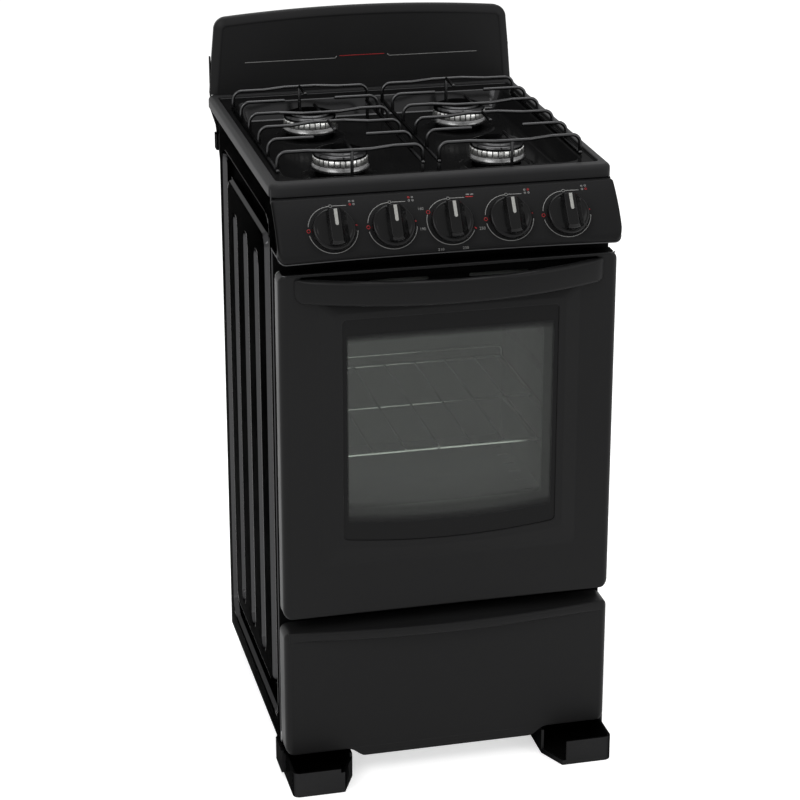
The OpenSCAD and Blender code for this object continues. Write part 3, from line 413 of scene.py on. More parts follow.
def speckled(name, colour, rough):
    """Oven enamel: grey ground coat with pale and dark specks."""
    f = Finish(name, colour, rough, 0.4)
    f.roughness(f.noise(20, 3), rough * 0.85, rough * 1.2)
    pale = f.span(f.cells(520).outputs["Distance"], 0.12, 0.2, 1, 0)
    mix = f.node("ShaderNodeMix", data_type="RGBA")
    mix.inputs[6].default_value = (*colour, 1)
    mix.inputs[7].default_value = (*near(colour, 1.3), 1)
    f.links.new(pale, mix.inputs["Factor"])
    dark = f.node("ShaderNodeMix", data_type="RGBA")
    dark.inputs[7].default_value = (*near(colour, 0.8), 1)
    f.links.new(mix.outputs[2], dark.inputs[6])
    f.links.new(f.span(f.noise(35, 4), 0.55, 0.75, 0, 0.7), dark.inputs["Factor"])
    f.links.new(dark.outputs[2], f.shader.inputs["Base Color"])
    return f.bump(f.noise(260, 2), 0.03, 0.0002).mat


def fibrous(name, colour):
    f = Finish(name, colour, 0.95, 0.1)
    fibres = f.noise(90, 8, (1, 1, 5))
    f.tint(fibres, near(colour, 0.6))
    return f.bump(fibres, 0.9, 0.003).mat


def woven(name, colour):
    """Braided heat seal: two crossed sets of ribs."""
    f = Finish(name, colour, 0.85, 0.2)
    wave = f.node("ShaderNodeTexWave", wave_type="BANDS", bands_direction="DIAGONAL")
    wave.inputs["Scale"].default_value = 260
    f.links.new(f.coord.outputs["Object"], wave.inputs["Vector"])
    f.tint(wave.outputs["Fac"], near(colour, 2.2))
    return f.bump(wave.outputs["Fac"], 0.8, 0.0005).mat


def ink(name, colour):
    f = Finish(name, colour, 0.5, 0.2)
    f.tint(f.noise(700, 2), near(colour, 0.78))
    return f.bump(f.noise(1200, 2), 0.1, 0.00005).mat


def panel_finish(name, colour):
    """Satin paint darkened at the control panel's left and right ends: painted shade on the end faces."""
    f = Finish(name, colour, 0.4, 0.02)
    half, width = PANEL_HI.x * MM, 3 * MM
    across = f.calc("ABSOLUTE", f.axes()["X"])
    # painted shade: the last 3 mm at each end turn almost black
    return f.tint(across, near(colour, 0.15), half - width, half - width * 0.4).mat


def border_mask(f, x_half, z_low, z_high, sag, fade):
    """1 in the clear middle of the window and 0 in its dark border, from object coordinates."""
    shade = 0.72
    axes = f.axes()
    across = f.calc("ABSOLUTE", axes["X"])
    side = f.span(across, x_half - 0.003, x_half, 1, 0)
    inner_side = f.span(axes["X"], x_half - 0.017, x_half - 0.0145, 1, shade)
    top = f.span(axes["Z"], z_high - fade, z_high, 1, 0)
    ratio = f.calc("DIVIDE", across, x_half)
    dip = f.calc("MULTIPLY", f.calc("SUBTRACT", 1.0, f.calc("MULTIPLY", ratio, ratio)), sag)
    level = f.calc("ADD", axes["Z"], dip)
    bottom = f.span(level, z_low, z_low + fade * 1.2, 0, 1)
    inner_low = f.span(level, z_low + 0.022, z_low + 0.033, shade, 1)
    inner = f.calc("MINIMUM", inner_side, inner_low)
    return f.calc("MULTIPLY", f.calc("MULTIPLY", side, top), f.calc("MULTIPLY", bottom, inner))


def see_through(f, tint, ior):
    """A transparent shader, a sharp reflection and the Fresnel value that mixes them."""
    see = f.node("ShaderNodeBsdfTransparent")
    see.inputs["Color"].default_value = (*tint, 1)
    gloss = f.node("ShaderNodeBsdfGlossy")
    gloss.inputs["Roughness"].default_value = 0.03
    fresnel = f.node("ShaderNodeFresnel")
    fresnel.inputs["IOR"].default_value = ior
    return see.outputs["BSDF"], gloss, fresnel.outputs["Fac"]


def window_material():
    """Lightly smoked glass inside a fired-on black border that fades inwards."""
    f = Finish("window_glass", (0.0045, 0.0045, 0.0047), 0.16, 0.09)
    f.roughness(f.noise(12, 3), 0.13, 0.2)
    see, gloss, fresnel = see_through(f, (0.86, 0.88, 0.86), 1.25)
    gloss.inputs["Color"].default_value = (1, 1, 1, 1)
    haze = f.node("ShaderNodeBsdfDiffuse")
    haze.inputs["Color"].default_value = (0.26, 0.27, 0.26, 1)
    veil = f.blend(0.06, see, haze.outputs["BSDF"])
    pane = f.blend(fresnel, veil, gloss.outputs["BSDF"])
    glass_lo, glass_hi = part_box("door_outer_glass")
    low, high = glass_lo[2] + 0.0445, glass_hi[2] - 0.032
    mask = border_mask(f, 0.1555, low, high, 0.009, front().fade)
    whole = f.blend(mask, f.shader.outputs["BSDF"], pane)
    f.links.new(whole, f.tree.nodes["Material Output"].inputs["Surface"])
    return f.mat


def clear_glass(name, tint):
    f = Finish(name, (0.8, 0.82, 0.8), 0.03, 0.3)
    see, gloss, fresnel = see_through(f, tint, 1.2)
    pane = f.blend(fresnel, see, gloss.outputs["BSDF"])
    f.links.new(pane, f.tree.nodes["Material Output"].inputs["Surface"])
    return f.mat


def build_finishes():
    c = colours()
    paint, plastic = tuple(c.paint), tuple(c.plastic)
    FINISHES.update(
        cooktop_enamel=cooktop_finish("cooktop_enamel", tuple(c.enamel), near(paint, 1.9)),
        backsplash_satin=satin("backsplash_satin", near(paint, 0.85), 0.42, 0.08),
        side_paint=side_finish("side_paint"),
        panel_paint=panel_finish("panel_paint", near(paint, 0.98)),
        door_paint=satin("door_paint", near(paint, 0.68), 0.42, 0.09, 0.08),
        handle_plastic=satin("handle_plastic", near(paint, 0.62), 0.34, 0.08, 0.08),
        knob_plastic=moulded("knob_plastic", near(plastic, 0.6), 0.13, 0.12, 0.03),
        foot_plastic=black_enamel("foot_plastic", 0.019, 0.4, 0.1, 0.1),
        galvanised=galvanised("galvanised", (0.5, 0.51, 0.51), 0.42),
        frame_paint=satin("frame_paint", near(paint, 0.2), 0.55, 0.02),
        oven_enamel=speckled("oven_enamel", tuple(c.oven), 0.38),
        wool=fibrous("wool", (0.62, 0.5, 0.24)),
        tube_steel=brushed("tube_steel", (0.55, 0.55, 0.53), 0.34, (1, 1, 6)),
        rack_chrome=brushed("rack_chrome", (0.72, 0.73, 0.72), 0.14, (1, 1, 1)),
        copper=brushed("copper", (0.62, 0.3, 0.17), 0.3, (1, 6, 1)),
        brass=brushed("brass", (0.62, 0.45, 0.18), 0.28, (4, 1, 1)),
        burner_aluminium=cast("burner_aluminium", (0.72, 0.72, 0.7), 0.3),
        burner_lip=brushed("burner_lip", (0.2, 0.2, 0.2), 0.26, (1, 1, 12)),
        burner_enamel=black_enamel("burner_enamel", 0.05, 0.16, 0.34),
        grate_enamel=black_enamel("grate_enamel", 0.055, 0.3, 0.1, 0.02),
        inner_glass=clear_glass("inner_glass", (0.94, 0.95, 0.94)),
        window_glass=window_material(),
        seal_rubber=woven("seal_rubber", (0.03, 0.03, 0.03)),
        hinge_steel=brushed("hinge_steel", (0.5, 0.5, 0.5), 0.36, (1, 1, 5)),
        screw_steel=brushed("screw_steel", (0.6, 0.6, 0.6), 0.25, (6, 1, 1)),
        edge_gloss=black_enamel("edge_gloss", 0.05, 0.28, 0.5, 0.02),
        # painted shade: near-black finish for the films laid over the door's recess and its top
        recess_black=satin("recess_black", near(paint, 0.06), 0.6, 0.01),
        print_grey=ink("print_grey", tuple(c.printed)),
        print_red=ink("print_red", tuple(c.red)),
        pointer_grey=ink("pointer_grey", (0.3, 0.3, 0.285)),
    )
    for node, ob in frame["nodes"].items():
        ob.data.materials.clear()
        ob.data.materials.append(FINISHES[SLOT_OF[node]])


SLOT_OF = {entry["node"]: entry["material_slot"] for entry in frame["record"]["subparts"]}


# ---- mesh helpers ----------------------------------------------------------


def smooth(mesh, angle=35):
    mesh.shade_smooth()
    mesh.set_sharp_from_angle(angle=math.radians(angle))


def add_object(name, mesh, finish, angle=35):
    ob = bpy.data.objects.new(name, mesh)
    bpy.context.scene.collection.objects.link(ob)
    mesh.materials.clear()
    mesh.materials.append(FINISHES[finish])
    smooth(mesh, angle)
    return ob


def turned_out(bm, out):
    """Turns all faces round if the one furthest along `out` points the wrong way."""
    out = Vector(out)
    face = max(bm.faces, key=lambda f: f.calc_center_median().dot(out) + 1e-4 * abs(f.normal.dot(out)))
    if face.normal.dot(out) < 0:
        bmesh.ops.reverse_faces(bm, faces=bm.faces)


def shape(name, verts, faces, finish, out=(0, -1, 0), angle=35, matrix=None):
    """Makes an object from millimetre points whose y is counted from the door's face."""
    mesh = bpy.data.meshes.new(name)
    if matrix is None:
        points = [(v[0] * MM, FACE + v[1] * MM, v[2] * MM) for v in verts]
    else:
        points = [matrix @ Vector((v[0] * MM, v[1] * MM, v[2] * MM)) for v in verts]
    mesh.from_pydata(points, [], faces)
    bm = bmesh.new()
    bm.from_mesh(mesh)
    bmesh.ops.remove_doubles(bm, verts=bm.verts, dist=2e-6)
    bmesh.ops.recalc_face_normals(bm, faces=bm.faces)
    if any(not e.is_manifold for e in bm.edges):
        turned_out(bm, out)
    bm.to_mesh(mesh)
    bm.free()
    return add_object(name, mesh, finish, angle)


def rides(ob, body, finish, *nodes):
    """Puts an object on a moving body and the CAD nodes it replaces."""
    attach(ob, body)
    if nodes:
        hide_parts(*nodes)
    return ob


def thicken(ob, wall):
    """Gives a surface the thickness of its sheet, inwards."""
    mod = ob.modifiers.new("wall", "SOLIDIFY")
    mod.thickness = wall * MM
    mod.offset = -1
    mod.use_even_offset = False
    mod = ob.modifiers.new("flat_faces", "WEIGHTED_NORMAL")
    mod.keep_sharp = True
    return ob


def ease(ob, width, segments, angle):
    """Rounds every edge that is sharper than an angle in degrees."""
    mod = ob.modifiers.new("eased_edges", "BEVEL")
    mod.width = width * MM
    mod.segments = segments
    mod.limit_method = "ANGLE"
    mod.angle_limit = math.radians(angle)
    mod.harden_normals = True
    return ob


class Build:
    """Collects vertices and faces ring by ring."""

    def __init__(self):
        self.verts = []
        self.faces = []

    def ring(self, points):
        start = len(self.verts)
        self.verts.extend(points)
        return list(range(start, len(self.verts)))

    def bridge(self, a, b, closed=True):
        n = len(a)
        for i in range(n if closed else n - 1):
            j = (i + 1) % n
            self.faces.append((a[i], a[j], b[j], b[i]))

    def loft(self, rings, closed=True):
        ids = [self.ring(r) for r in rings]
        for a, b in zip(ids, ids[1:]):
            self.bridge(a, b, closed)
        return ids

    def cap(self, ring):
        self.faces.append(tuple(ring))

    def capped_loft(self, rings, closed=True):
        ids = self.loft(rings, closed)
        self.cap(ids[0])
        self.cap(ids[-1])

    def fill(self, *rings):
        """Fills the area between an outer ring and the holes inside it."""
        loops = [[Vector(self.verts[i]) for i in ring] for ring in rings]
        flat = [i for ring in rings for i in ring]
        for tri in tessellate_polygon(loops):
            self.faces.append(tuple(flat[k] for k in tri))


def arc(cx, cy, r, a0, a1, n):
    """Points on an arc from a0 to a1 degrees."""
    turns = [math.radians(a0 + (a1 - a0) * i / n) for i in range(n + 1)]
    return [(cx + r * math.cos(t), cy + r * math.sin(t)) for t in turns]


def rounded(x0, y0, x1, y1, r, n=8):
    """Outline of a rectangle with rounded corners, counterclockwise from its right side."""
    pts = []
    for cx, cy, a in ((x1 - r, y1 - r, 0), (x0 + r, y1 - r, 90), (x0 + r, y0 + r, 180), (x1 - r, y0 + r, 270)):
        pts += arc(cx, cy, r, a, a + 90, n)
    return pts


def level_ring(cx, cy, r, z, steps):
    """Points on a full circle that lies level."""
    turns = [2 * math.pi * i / steps for i in range(steps)]
    return [(cx + r * math.cos(t), cy + r * math.sin(t), z) for t in turns]


def facing(outline, y):
    """Stands an outline of (x, z) upright at depth y."""
    return [(x, y, z) for x, z in outline]


def lathe(name, profile, finish, centre, angle=35):
    """Turns an outline of (radius, height) about an upright axis."""
    b = Build()
    b.loft([level_ring(centre[0], centre[1], r, centre[2] + z, ROUND_STEPS) for r, z in profile])
    return shape(name, b.verts, b.faces, finish, (0, 0, 1), angle)


def softened(points, radius, n=6):
    """Rounds the inner corners of a 3-D polyline."""
    points = [Vector(p) for p in points]
    out = [points[0]]
    for a, p, c in zip(points, points[1:], points[2:]):
        u, w = (a - p).normalized(), (c - p).normalized()
        half = (math.pi - u.angle(w)) / 2
        if half < 1e-3:
            out.append(p)
            continue
        cut = min(radius * math.tan(half), (a - p).length * 0.48, (c - p).length * 0.48)
        r = cut / math.tan(half)
        centre = p + (u + w).normalized() * (r / math.cos(half))
        start, end = p + u * cut - centre, p + w * cut - centre
        total = start.angle(end)
        axis = start.cross(end).normalized()
        for i in range(n + 1):
            out.append(centre + Matrix.Rotation(total * i / n, 3, axis) @ start)
    out.append(points[-1])
    return out


def tube(b, points, radius, sides=14):
    """Sweeps a round wire along points into a Build, with domed ends."""
    n = len(points)
    tangents = [(points[min(i + 1, n - 1)] - points[max(i - 1, 0)]).normalized() for i in range(n)]
    up = Vector((0, 0, 1)) if abs(tangents[0].z) < 0.9 else Vector((0, 1, 0))
    side = tangents[0].cross(up).normalized()
    rings = []

    def add_ring(p, t, r):
        nonlocal side
        side = (side - t * side.dot(t)).normalized()
        other = t.cross(side)
        turns = [2 * math.pi * k / sides for k in range(sides)]
        rings.append([tuple(p + (side * math.cos(a) + other * math.sin(a)) * r) for a in turns])

    def dome(p, t, inwards, angles):
        for a in angles:
            tilt = math.radians(a)
            back = t * (inwards * radius) * (1 - math.sin(tilt)) * 0.6
            add_ring(p + back, t, radius * math.cos(tilt))

    dome(points[0], tangents[0], 1, (80, 50, 25, 0))
    for p, t in list(zip(points, tangents))[1:-1]:
        add_ring(p, t, radius)
    dome(points[-1], tangents[-1], -1, (0, 25, 50, 80))
    ids = b.loft(rings)
    b.cap(list(reversed(ids[0])))
    b.cap(ids[-1])


def soften_node(node, width, segments=2):
    """A copy of a CAD node with merged points, clean flat faces and eased edges, standing for it."""
    source = frame["nodes"][node]
    mesh = source.data.copy()
    bm = bmesh.new()
    bm.from_mesh(mesh)
    bmesh.ops.remove_doubles(bm, verts=bm.verts, dist=1e-5)
    bmesh.ops.dissolve_limit(bm, angle_limit=math.radians(0.5), verts=bm.verts, edges=bm.edges)
    bm.to_mesh(mesh)
    bm.free()
    ob = add_object(node + "_shell", mesh, SLOT_OF[node], 40)
    ease(ob, width, segments, 32)
    return rides(ob, source["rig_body"], SLOT_OF[node], node)


# ---- repeats by geometry nodes ----------------------------------------------


def repeat_tree():
    """Repeats a piece along a step, turned a little further each time."""
    tree = bpy.data.node_groups.new("repeat_piece", "GeometryNodeTree")
    face = tree.interface
    for name, kind in (
        ("Piece", "NodeSocketObject"),
        ("Count", "NodeSocketInt"),
        ("Start", "NodeSocketVector"),
        ("Step", "NodeSocketVector"),
        ("Turn", "NodeSocketFloat"),
        ("Finish", "NodeSocketMaterial"),
    ):
        face.new_socket(name, in_out="INPUT", socket_type=kind)
    face.new_socket("Geometry", in_out="OUTPUT", socket_type="NodeSocketGeometry")
    new, link = tree.nodes.new, tree.links.new
    given, result = new("NodeGroupInput"), new("NodeGroupOutput")
    line = new("GeometryNodeMeshLine")
    line.mode = "OFFSET"
    link(given.outputs["Count"], line.inputs["Count"])
    link(given.outputs["Start"], line.inputs["Start Location"])
    link(given.outputs["Step"], line.inputs["Offset"])
    info = new("GeometryNodeObjectInfo")
    link(given.outputs["Piece"], info.inputs["Object"])
    index = new("GeometryNodeInputIndex")
    turn = new("ShaderNodeMath")
    turn.operation = "MULTIPLY"
    link(index.outputs["Index"], turn.inputs[0])
    link(given.outputs["Turn"], turn.inputs[1])
    spin = new("ShaderNodeCombineXYZ")
    link(turn.outputs["Value"], spin.inputs["Z"])
    put = new("GeometryNodeInstanceOnPoints")
    link(line.outputs["Mesh"], put.inputs["Points"])
    link(info.outputs["Geometry"], put.inputs["Instance"])
    link(spin.outputs["Vector"], put.inputs["Rotation"])
    real = new("GeometryNodeRealizeInstances")
    link(put.outputs["Instances"], real.inputs["Geometry"])
    paint = new("GeometryNodeSetMaterial")
    link(real.outputs["Geometry"], paint.inputs["Geometry"])
    link(given.outputs["Finish"], paint.inputs["Material"])
    link(paint.outputs["Geometry"], result.inputs["Geometry"])
    return tree


def repeated(name, piece, count, start, step, turn, finish, angle=35):
    """Runs the repeat tree once and keeps the plain mesh; `piece` is used up."""
    tree = bpy.data.node_groups.get("repeat_piece") or repeat_tree()
    carrier = bpy.data.objects.new(name + "_carrier", bpy.data.meshes.new(name + "_carrier"))
    bpy.context.scene.collection.objects.link(carrier)
    mod = carrier.modifiers.new("repeat", "NODES")
    mod.node_group = tree
    values = {
        "Piece": piece,
        "Count": count,
        "Start": start,
        "Step": step,
        "Turn": turn,
        "Finish": FINISHES[finish],
    }
    for item in tree.interface.items_tree:
        if item.item_type == "SOCKET" and item.in_out == "INPUT":
            mod[item.identifier] = values[item.name]
    bpy.context.view_layer.update()
    graph = bpy.context.evaluated_depsgraph_get()
    mesh = bpy.data.meshes.new_from_object(carrier.evaluated_get(graph))
    mesh.name = name
    carrier.modifiers.remove(mod)
    bpy.data.objects.remove(carrier)
    bpy.data.objects.remove(piece)
    return add_object(name, mesh, finish, angle)


# ---- side panels -----------------------------------------------------------


def smoothstep(t):
    t = max(0.0, min(1.0, t))
    return t * t * (3 - 2 * t)


def inside_rect(y, z, y0, z0, y1, z1, r):
    """Distance inwards from a rounded rectangle, negative outside."""
    cy, cz = (y0 + y1) / 2, (z0 + z1) / 2
    qy, qz = abs(y - cy) - (y1 - y0) / 2 + r, abs(z - cz) - (z1 - z0) / 2 + r
    return -(math.hypot(max(qy, 0), max(qz, 0)) + min(max(qy, qz), 0) - r)


def press_lines(low, high):
    """The loop's y limits, its z limits and the middles of the three grooves."""
    y0, y1 = low.y + 20, high.y - 26
    grooves = [low.y + 133 + GROOVE_PITCH * i for i in range(3)]
    return y0, y1, low.z + PRESS_LOW, high.z - PRESS_HIGH, grooves


def pressed_depth(y, z, low, high, depth):
    """Depth of the loop channel and the three grooves at a point of the panel."""
    run, r, w = PRESS_RUN, LOOP_R, CHANNEL_W
    y0, y1, z0, z1, grooves = press_lines(low, high)
    loop = smoothstep(inside_rect(y, z, y0, z0, y1, z1, r) / run)
    island = smoothstep((inside_rect(y, z, y0 + w, z0 + w, y1 - w, z1 - w, r / 2) + run) / run)
    best = loop * (1 - island)
    for gy in grooves:
        gz = min(max(z, z0 + 84), z1 - 100)
        best = max(best, smoothstep((GROOVE_HALF - math.hypot(y - gy, z - gz)) / run))
    return depth * best


def finer(start, end, coarse, walls, fine=0.7):
    """Positions from start to end, closer together across each wall of the pressing."""
    marks = set()
    steps = int((end - start) / coarse)
    for i in range(steps + 1):
        marks.add(round(start + (end - start) * i / steps, 4))
    for a, c in walls:
        n = int((c - a) / fine) + 1
        marks.update(round(a + (c - a) * i / n, 4) for i in range(n + 1))
    out = []
    for m in sorted(marks):
        if start <= m <= end and (not out or m - out[-1] > 0.35):
            out.append(m)
    out[-1] = end
    return out


def side_panel(side):
    node = "side_panel_right" if side > 0 else "side_panel_left"
    low, high = lo(node), hi(node)
    depth = sizes().pressing / MM
    bend, flange = 1.6, 14
    y0, y1, z0, z1, grooves = press_lines(low, high)
    run, w, g = PRESS_RUN + 0.3, CHANNEL_W, GROOVE_HALF
    walls = [(y0, y0 + run), (y0 + w - run, y0 + w), (y1 - w, y1 - w + run), (y1 - run, y1)]
    for gy in grooves:
        walls += [(gy - g, gy - g + run), (gy + g - run, gy + g)]
    ys = finer(low.y + bend, high.y - bend, 4.5, walls)
    levels = [(z0, z0 + run), (z0 + w - run, z0 + w), (z1 - w, z1 - w + run), (z1 - run, z1)]
    near_ends = [(z0 + 5, z0 + 34), (z0 + 40, z0 + 90), (z1 - 104, z1 - 80), (z1 - 60, z1 - 5)]
    zs = finer(low.z + bend, high.z - bend, 14.0, levels, 0.9)
    zs = sorted(set(zs) | {m for a, c in near_ends for m in finer(a, c, 2.5, [])})
    zs = [m for i, m in enumerate(zs) if i == 0 or m - zs[i - 1] > 0.3]
    b = Build()
    b.loft(
        [[(side * (HALF - pressed_depth(y, z, low, high, depth)), y, z) for y in ys] for z in zs],
        closed=False,
    )

    def folded(edge, dy, dz):
        """Rounds one edge over and adds its flange."""
        rings = [edge]
        for a in (22.5, 45, 67.5, 90):
            s, c = math.sin(math.radians(a)), math.cos(math.radians(a))
            x = side * (HALF - bend * (1 - c))
            rings.append([(x, p[1] + dy * bend * s, p[2] + dz * bend * s) for p in edge])
        rings.append([(side * (HALF - flange), p[1] + dy * bend, p[2] + dz * bend) for p in edge])
        b.loft(rings, closed=False)

    folded([(side * HALF, ys[0], z) for z in zs], -1, 0)
    folded([(side * HALF, ys[-1], z) for z in zs], 1, 0)
    folded([(side * HALF, y, zs[0]) for y in ys], 0, -1)
    folded([(side * HALF, y, zs[-1]) for y in ys], 0, 1)
    ob = shape(node.replace("panel", "skin"), b.verts, b.faces, "side_paint", (side, 0, 0), 50)
    return rides(thicken(ob, 1.1), "range_body", "side_paint", node)


class RANGE_OT_side_panels(Operator):
    """Build the two pressed side panels with their folded edges"""

    bl_idname = "gas_range.side_panels"
    bl_label = "Side panels"

    def execute(self, context):
        for side in (-1, 1):
            side_panel(side)
        return {"FINISHED"}


# ---- cooktop ---------------------------------------------------------------


class RANGE_OT_cooktop(Operator):
    """Build the pressed cooktop: rounded rim, grate ledge and sunken well"""

    bl_idname = "gas_range.cooktop"
    bl_label = "Cooktop"

    def execute(self, context):
        x, y0, y1 = COOK_HI.x, COOK_LO.y, COOK_HI.y
        fillet = sizes().rim_fillet / MM
        # the opening inside the rim, and the well's floor inside that
        rim_side, rim_front, rim_h = 13.5, 22, 18
        rim_x, rim_y0, rim_y1 = x - rim_side, y0 + rim_front, y1 - rim_front
        fx, fy0, fy1 = rim_x - 33, y0 + 58, y1 - 66
        lip_r, ledge_r, fall_r, floor_r = 1.6, 1.4, 4, 7
        rings = []

        def ring(hx, a, c, r, z):
            rings.append([(px, py, z) for px, py in rounded(-hx, a, hx, c, r, 10)])

        def outer(inset, z):
            ring(x - inset, y0 + inset, y1 - inset, 15 - inset, z)

        def inner(grow, z):
            ring(rim_x + grow, rim_y0 - grow, rim_y1 + grow, 9 + grow, z)

        def well(grow, z):
            ring(fx + grow, fy0 - grow, fy1 + grow, 13 + grow, z)

        outer(0, RIM_Z - rim_h)
        for k in range(7):
            a = math.radians(15 * k)
            outer(fillet * (1 - math.cos(a)), RIM_Z - fillet + fillet * math.sin(a))
        outer(fillet + 1.2, RIM_Z)
        inner(3.0, RIM_Z)
        for k in range(5):
            a = math.radians(90 - 22.5 * k)
            inner(lip_r - lip_r * math.cos(a), RIM_Z - lip_r + lip_r * math.sin(a))
        for k in range(5):
            a = math.radians(22.5 * k)
            inner(-ledge_r * (1 - math.cos(a)), LEDGE_Z + ledge_r - ledge_r * math.sin(a))
        run, drop = 15.0, LEDGE_Z - FLOOR_Z
        lean = math.pi / 2 - math.atan2(run, drop)
        for k in range(6):
            a = lean * k / 5
            well(run + 2.6 - fall_r * math.sin(a), LEDGE_Z - fall_r * (1 - math.cos(a)))
        for k in range(6):
            a = lean * (1 - k / 5)
            well(-4.6 + floor_r * math.sin(a), FLOOR_Z + floor_r * (1 - math.cos(a)))
        b = Build()
        ids = b.loft(rings)
        # a low bead and a seat round each burner: radius and height over the floor
        dish = ((58, 0), (57, 0.15), (54.5, 0.9), (53, 1.15), (51.5, 1.1), (48, 0.25), (46.5, 0), (25.5, 0))
        holes = []
        for sx, row in BURNERS.values():
            seat = b.loft([level_ring(sx * BURNER_X, BURNER_Y[row], r, FLOOR_Z + z, 48) for r, z in dish])
            holes.append(seat[0])
        b.fill(ids[-1], *holes)
        ob = shape("cooktop_pressing", b.verts, b.faces, "cooktop_enamel", (0, 0, 1), 45)
        rides(thicken(ob, 1.4), "range_body", "cooktop_enamel", "cooktop")
        return {"FINISHED"}


# ---- burners ---------------------------------------------------------------


class RANGE_OT_burners(Operator):
    """Build the burner heads with their slotted flame bands, and the loose caps"""

    bl_idname = "gas_range.burners"
    bl_label = "Burners"

    def band(self, key, centre, z0, z1):
        """One tooth between two flame slots, repeated round the head."""
        count = sizes().flame_slots
        inner, mid = 37.8, 40
        wide = 2 * math.pi * mid / count * 0.8 / 2
        b = Build()
        rings = []
        for z, r in ((z0 + 0.1, 40.9), (z0 + 1.2, 41), (z1 - 1.6, 41), (z1 - 0.6, 40.4), (z1, 39.4)):
            rings.append([(inner, -wide, z), (r, -wide, z), (r, wide, z), (inner, wide, z)])
        b.capped_loft(rings)
        tooth = shape("flame_tooth", b.verts, b.faces, "burner_aluminium", matrix=Matrix.Identity(4))
        start = Vector((centre[0] * MM, FACE + centre[1] * MM, centre[2] * MM))
        turn = 2 * math.pi / count
        teeth = repeated("flame_band_" + key, tooth, count, start, (0, 0, 0), turn, "burner_aluminium")
        rides(teeth, "range_body", "burner_aluminium")

    def execute(self, context):
        # heights over the well's floor: top of the base, top of the lip, top of the head
        z1, z2, z3 = 11.0, 20.0, HEAD_TOP - FLOOR_Z
        base_profile = [
            (0, -20), (22.5, -20), (24, -18.5), (24, 0.3), (36, 0.3), (37, 1.3), (37, z1 - 1), (30, z1), (0, z1),
        ]
        lip_profile = [
            (28, z1), (41.5, z1), (43.3, z1 + 0.6), (44, z1 + 2), (44, z1 + 3.6), (43.2, z1 + 5.4),
            (41.6, z2 - 1.2), (40.6, z2), (38.4, z2), (38.2, z3 - 0.3), (31, z3 - 0.3), (31, z1 + 2), (28, z1),
        ]
        for key, (sx, row) in BURNERS.items():
            centre = (sx * BURNER_X, BURNER_Y[row], FLOOR_Z)
            base = lathe("burner_base_" + key, base_profile, "burner_enamel", centre)
            rides(base, "range_body", "burner_enamel", "burner_heads")
            lip = lathe("burner_lip_" + key, lip_profile, "burner_lip", centre)
            rides(lip, "range_body", "burner_aluminium")
            self.band(key, centre, z2, z3)
            low = lo("burner_cap_" + key).z + 5 - FLOOR_Z
            cap_profile = [
                (0, low + 2), (27.5, low + 2), (27.5, low - 4.8), (29.3, low - 4.8), (29.4, low),
                (39.2, low), (40.2, low + 0.5), (40.5, low + 1.6), (40.4, low + 3.2), (39.6, low + 4.8),
                (38, low + 5.9), (35.6, low + 6.5), (32.6, low + 6.9), (31.4, low + 7.3), (30.9, low + 8.1),
                (30.2, low + 8.7), (28.8, low + 9), (0, low + 9),
            ]
            cap = lathe("cap_" + key, cap_profile, "burner_enamel", centre, 50)
            rides(cap, "cap_" + key, "burner_enamel", "burner_cap_" + key)
        return {"FINISHED"}


# ---- grates ----------------------------------------------------------------


class RANGE_OT_grates(Operator):
    """Bend the wires of the two grates"""

    bl_idname = "gas_range.grates"
    bl_label = "Grates"

    def execute(self, context):
        r, bend = sizes().wire / MM / 2, sizes().wire_bend / MM
        # distances from a burner's middle: the cross bars, the outer and the inner wire's start
        bar, outside, inside = 72, 83, 85
        # length of the wires that point at the burner, from the bars and from the sides
        finger, side_finger = 50, 69
        # how far the cross bars bow outwards, and the half widths of the bow and of its middle
        bow_out, bow_in, bow_wide, bow_mid = 11, 13, 62, 26
        for side, node in ((-1, "grate_left"), (1, "grate_right")):
            low, high = lo(node), hi(node)
            near_x = low.x if side > 0 else high.x
            far_x = high.x if side > 0 else low.x
            xa, xb = near_x + side * (r + 0.25), far_x - side * (r + 0.25)
            xm = (xa + xb) / 2
            bar_z, rail_z, foot_z = high.z - r, LEDGE_Z + 3.25, FLOOR_Z + 0.4
            b = Build()

            def run(points, radius=r):
                tube(b, softened(points, bend), radius)

            for row, out in ((0, -1), (1, 1)):
                y = BURNER_Y[row]
                for bar_y, bow in ((y + out * bar, out * bow_out), (y - out * bar, -out * bow_in)):
                    run([
                        (xa, bar_y, rail_z), (xa, bar_y, bar_z),
                        (xm - side * bow_wide, bar_y, bar_z), (xm - side * bow_mid, bar_y + bow, bar_z),
                        (xm + side * bow_mid, bar_y + bow, bar_z), (xm + side * bow_wide, bar_y, bar_z),
                        (xb, bar_y, bar_z), (xb, bar_y, rail_z),
                    ])
                for x_leg, x_tip in ((xa, xa + side * side_finger), (xb, xb - side * side_finger)):
                    run([(x_leg, y, rail_z), (x_leg, y, bar_z), (x_tip, y, bar_z)])
                y_out, y_in = y + out * outside, y - out * inside
                run([(xm, y_out, bar_z), (xm, y_out - out * finger, bar_z)], r - 0.1)
                run([(xm, y_in, bar_z), (xm, y_in + out * finger, bar_z)], r - 0.1)
                run([(xm, y_out, bar_z), (xm, y_out, foot_z)], r - 0.2)
                run([(xa, y + out * bar, rail_z), (xa, y + out * bar, foot_z)], r - 0.1)
            for x in (xa, xb):
                run([(x, BURNER_Y[0] - 77, rail_z), (x, BURNER_Y[1] + 77, rail_z)], r + 0.2)
            ob = shape(node + "_wires", b.verts, b.faces, "grate_enamel", (0, 0, 1), 60)
            rides(ob, node, "grate_enamel", node)
        return {"FINISHED"}


# ---- backsplash ------------------------------------------------------------


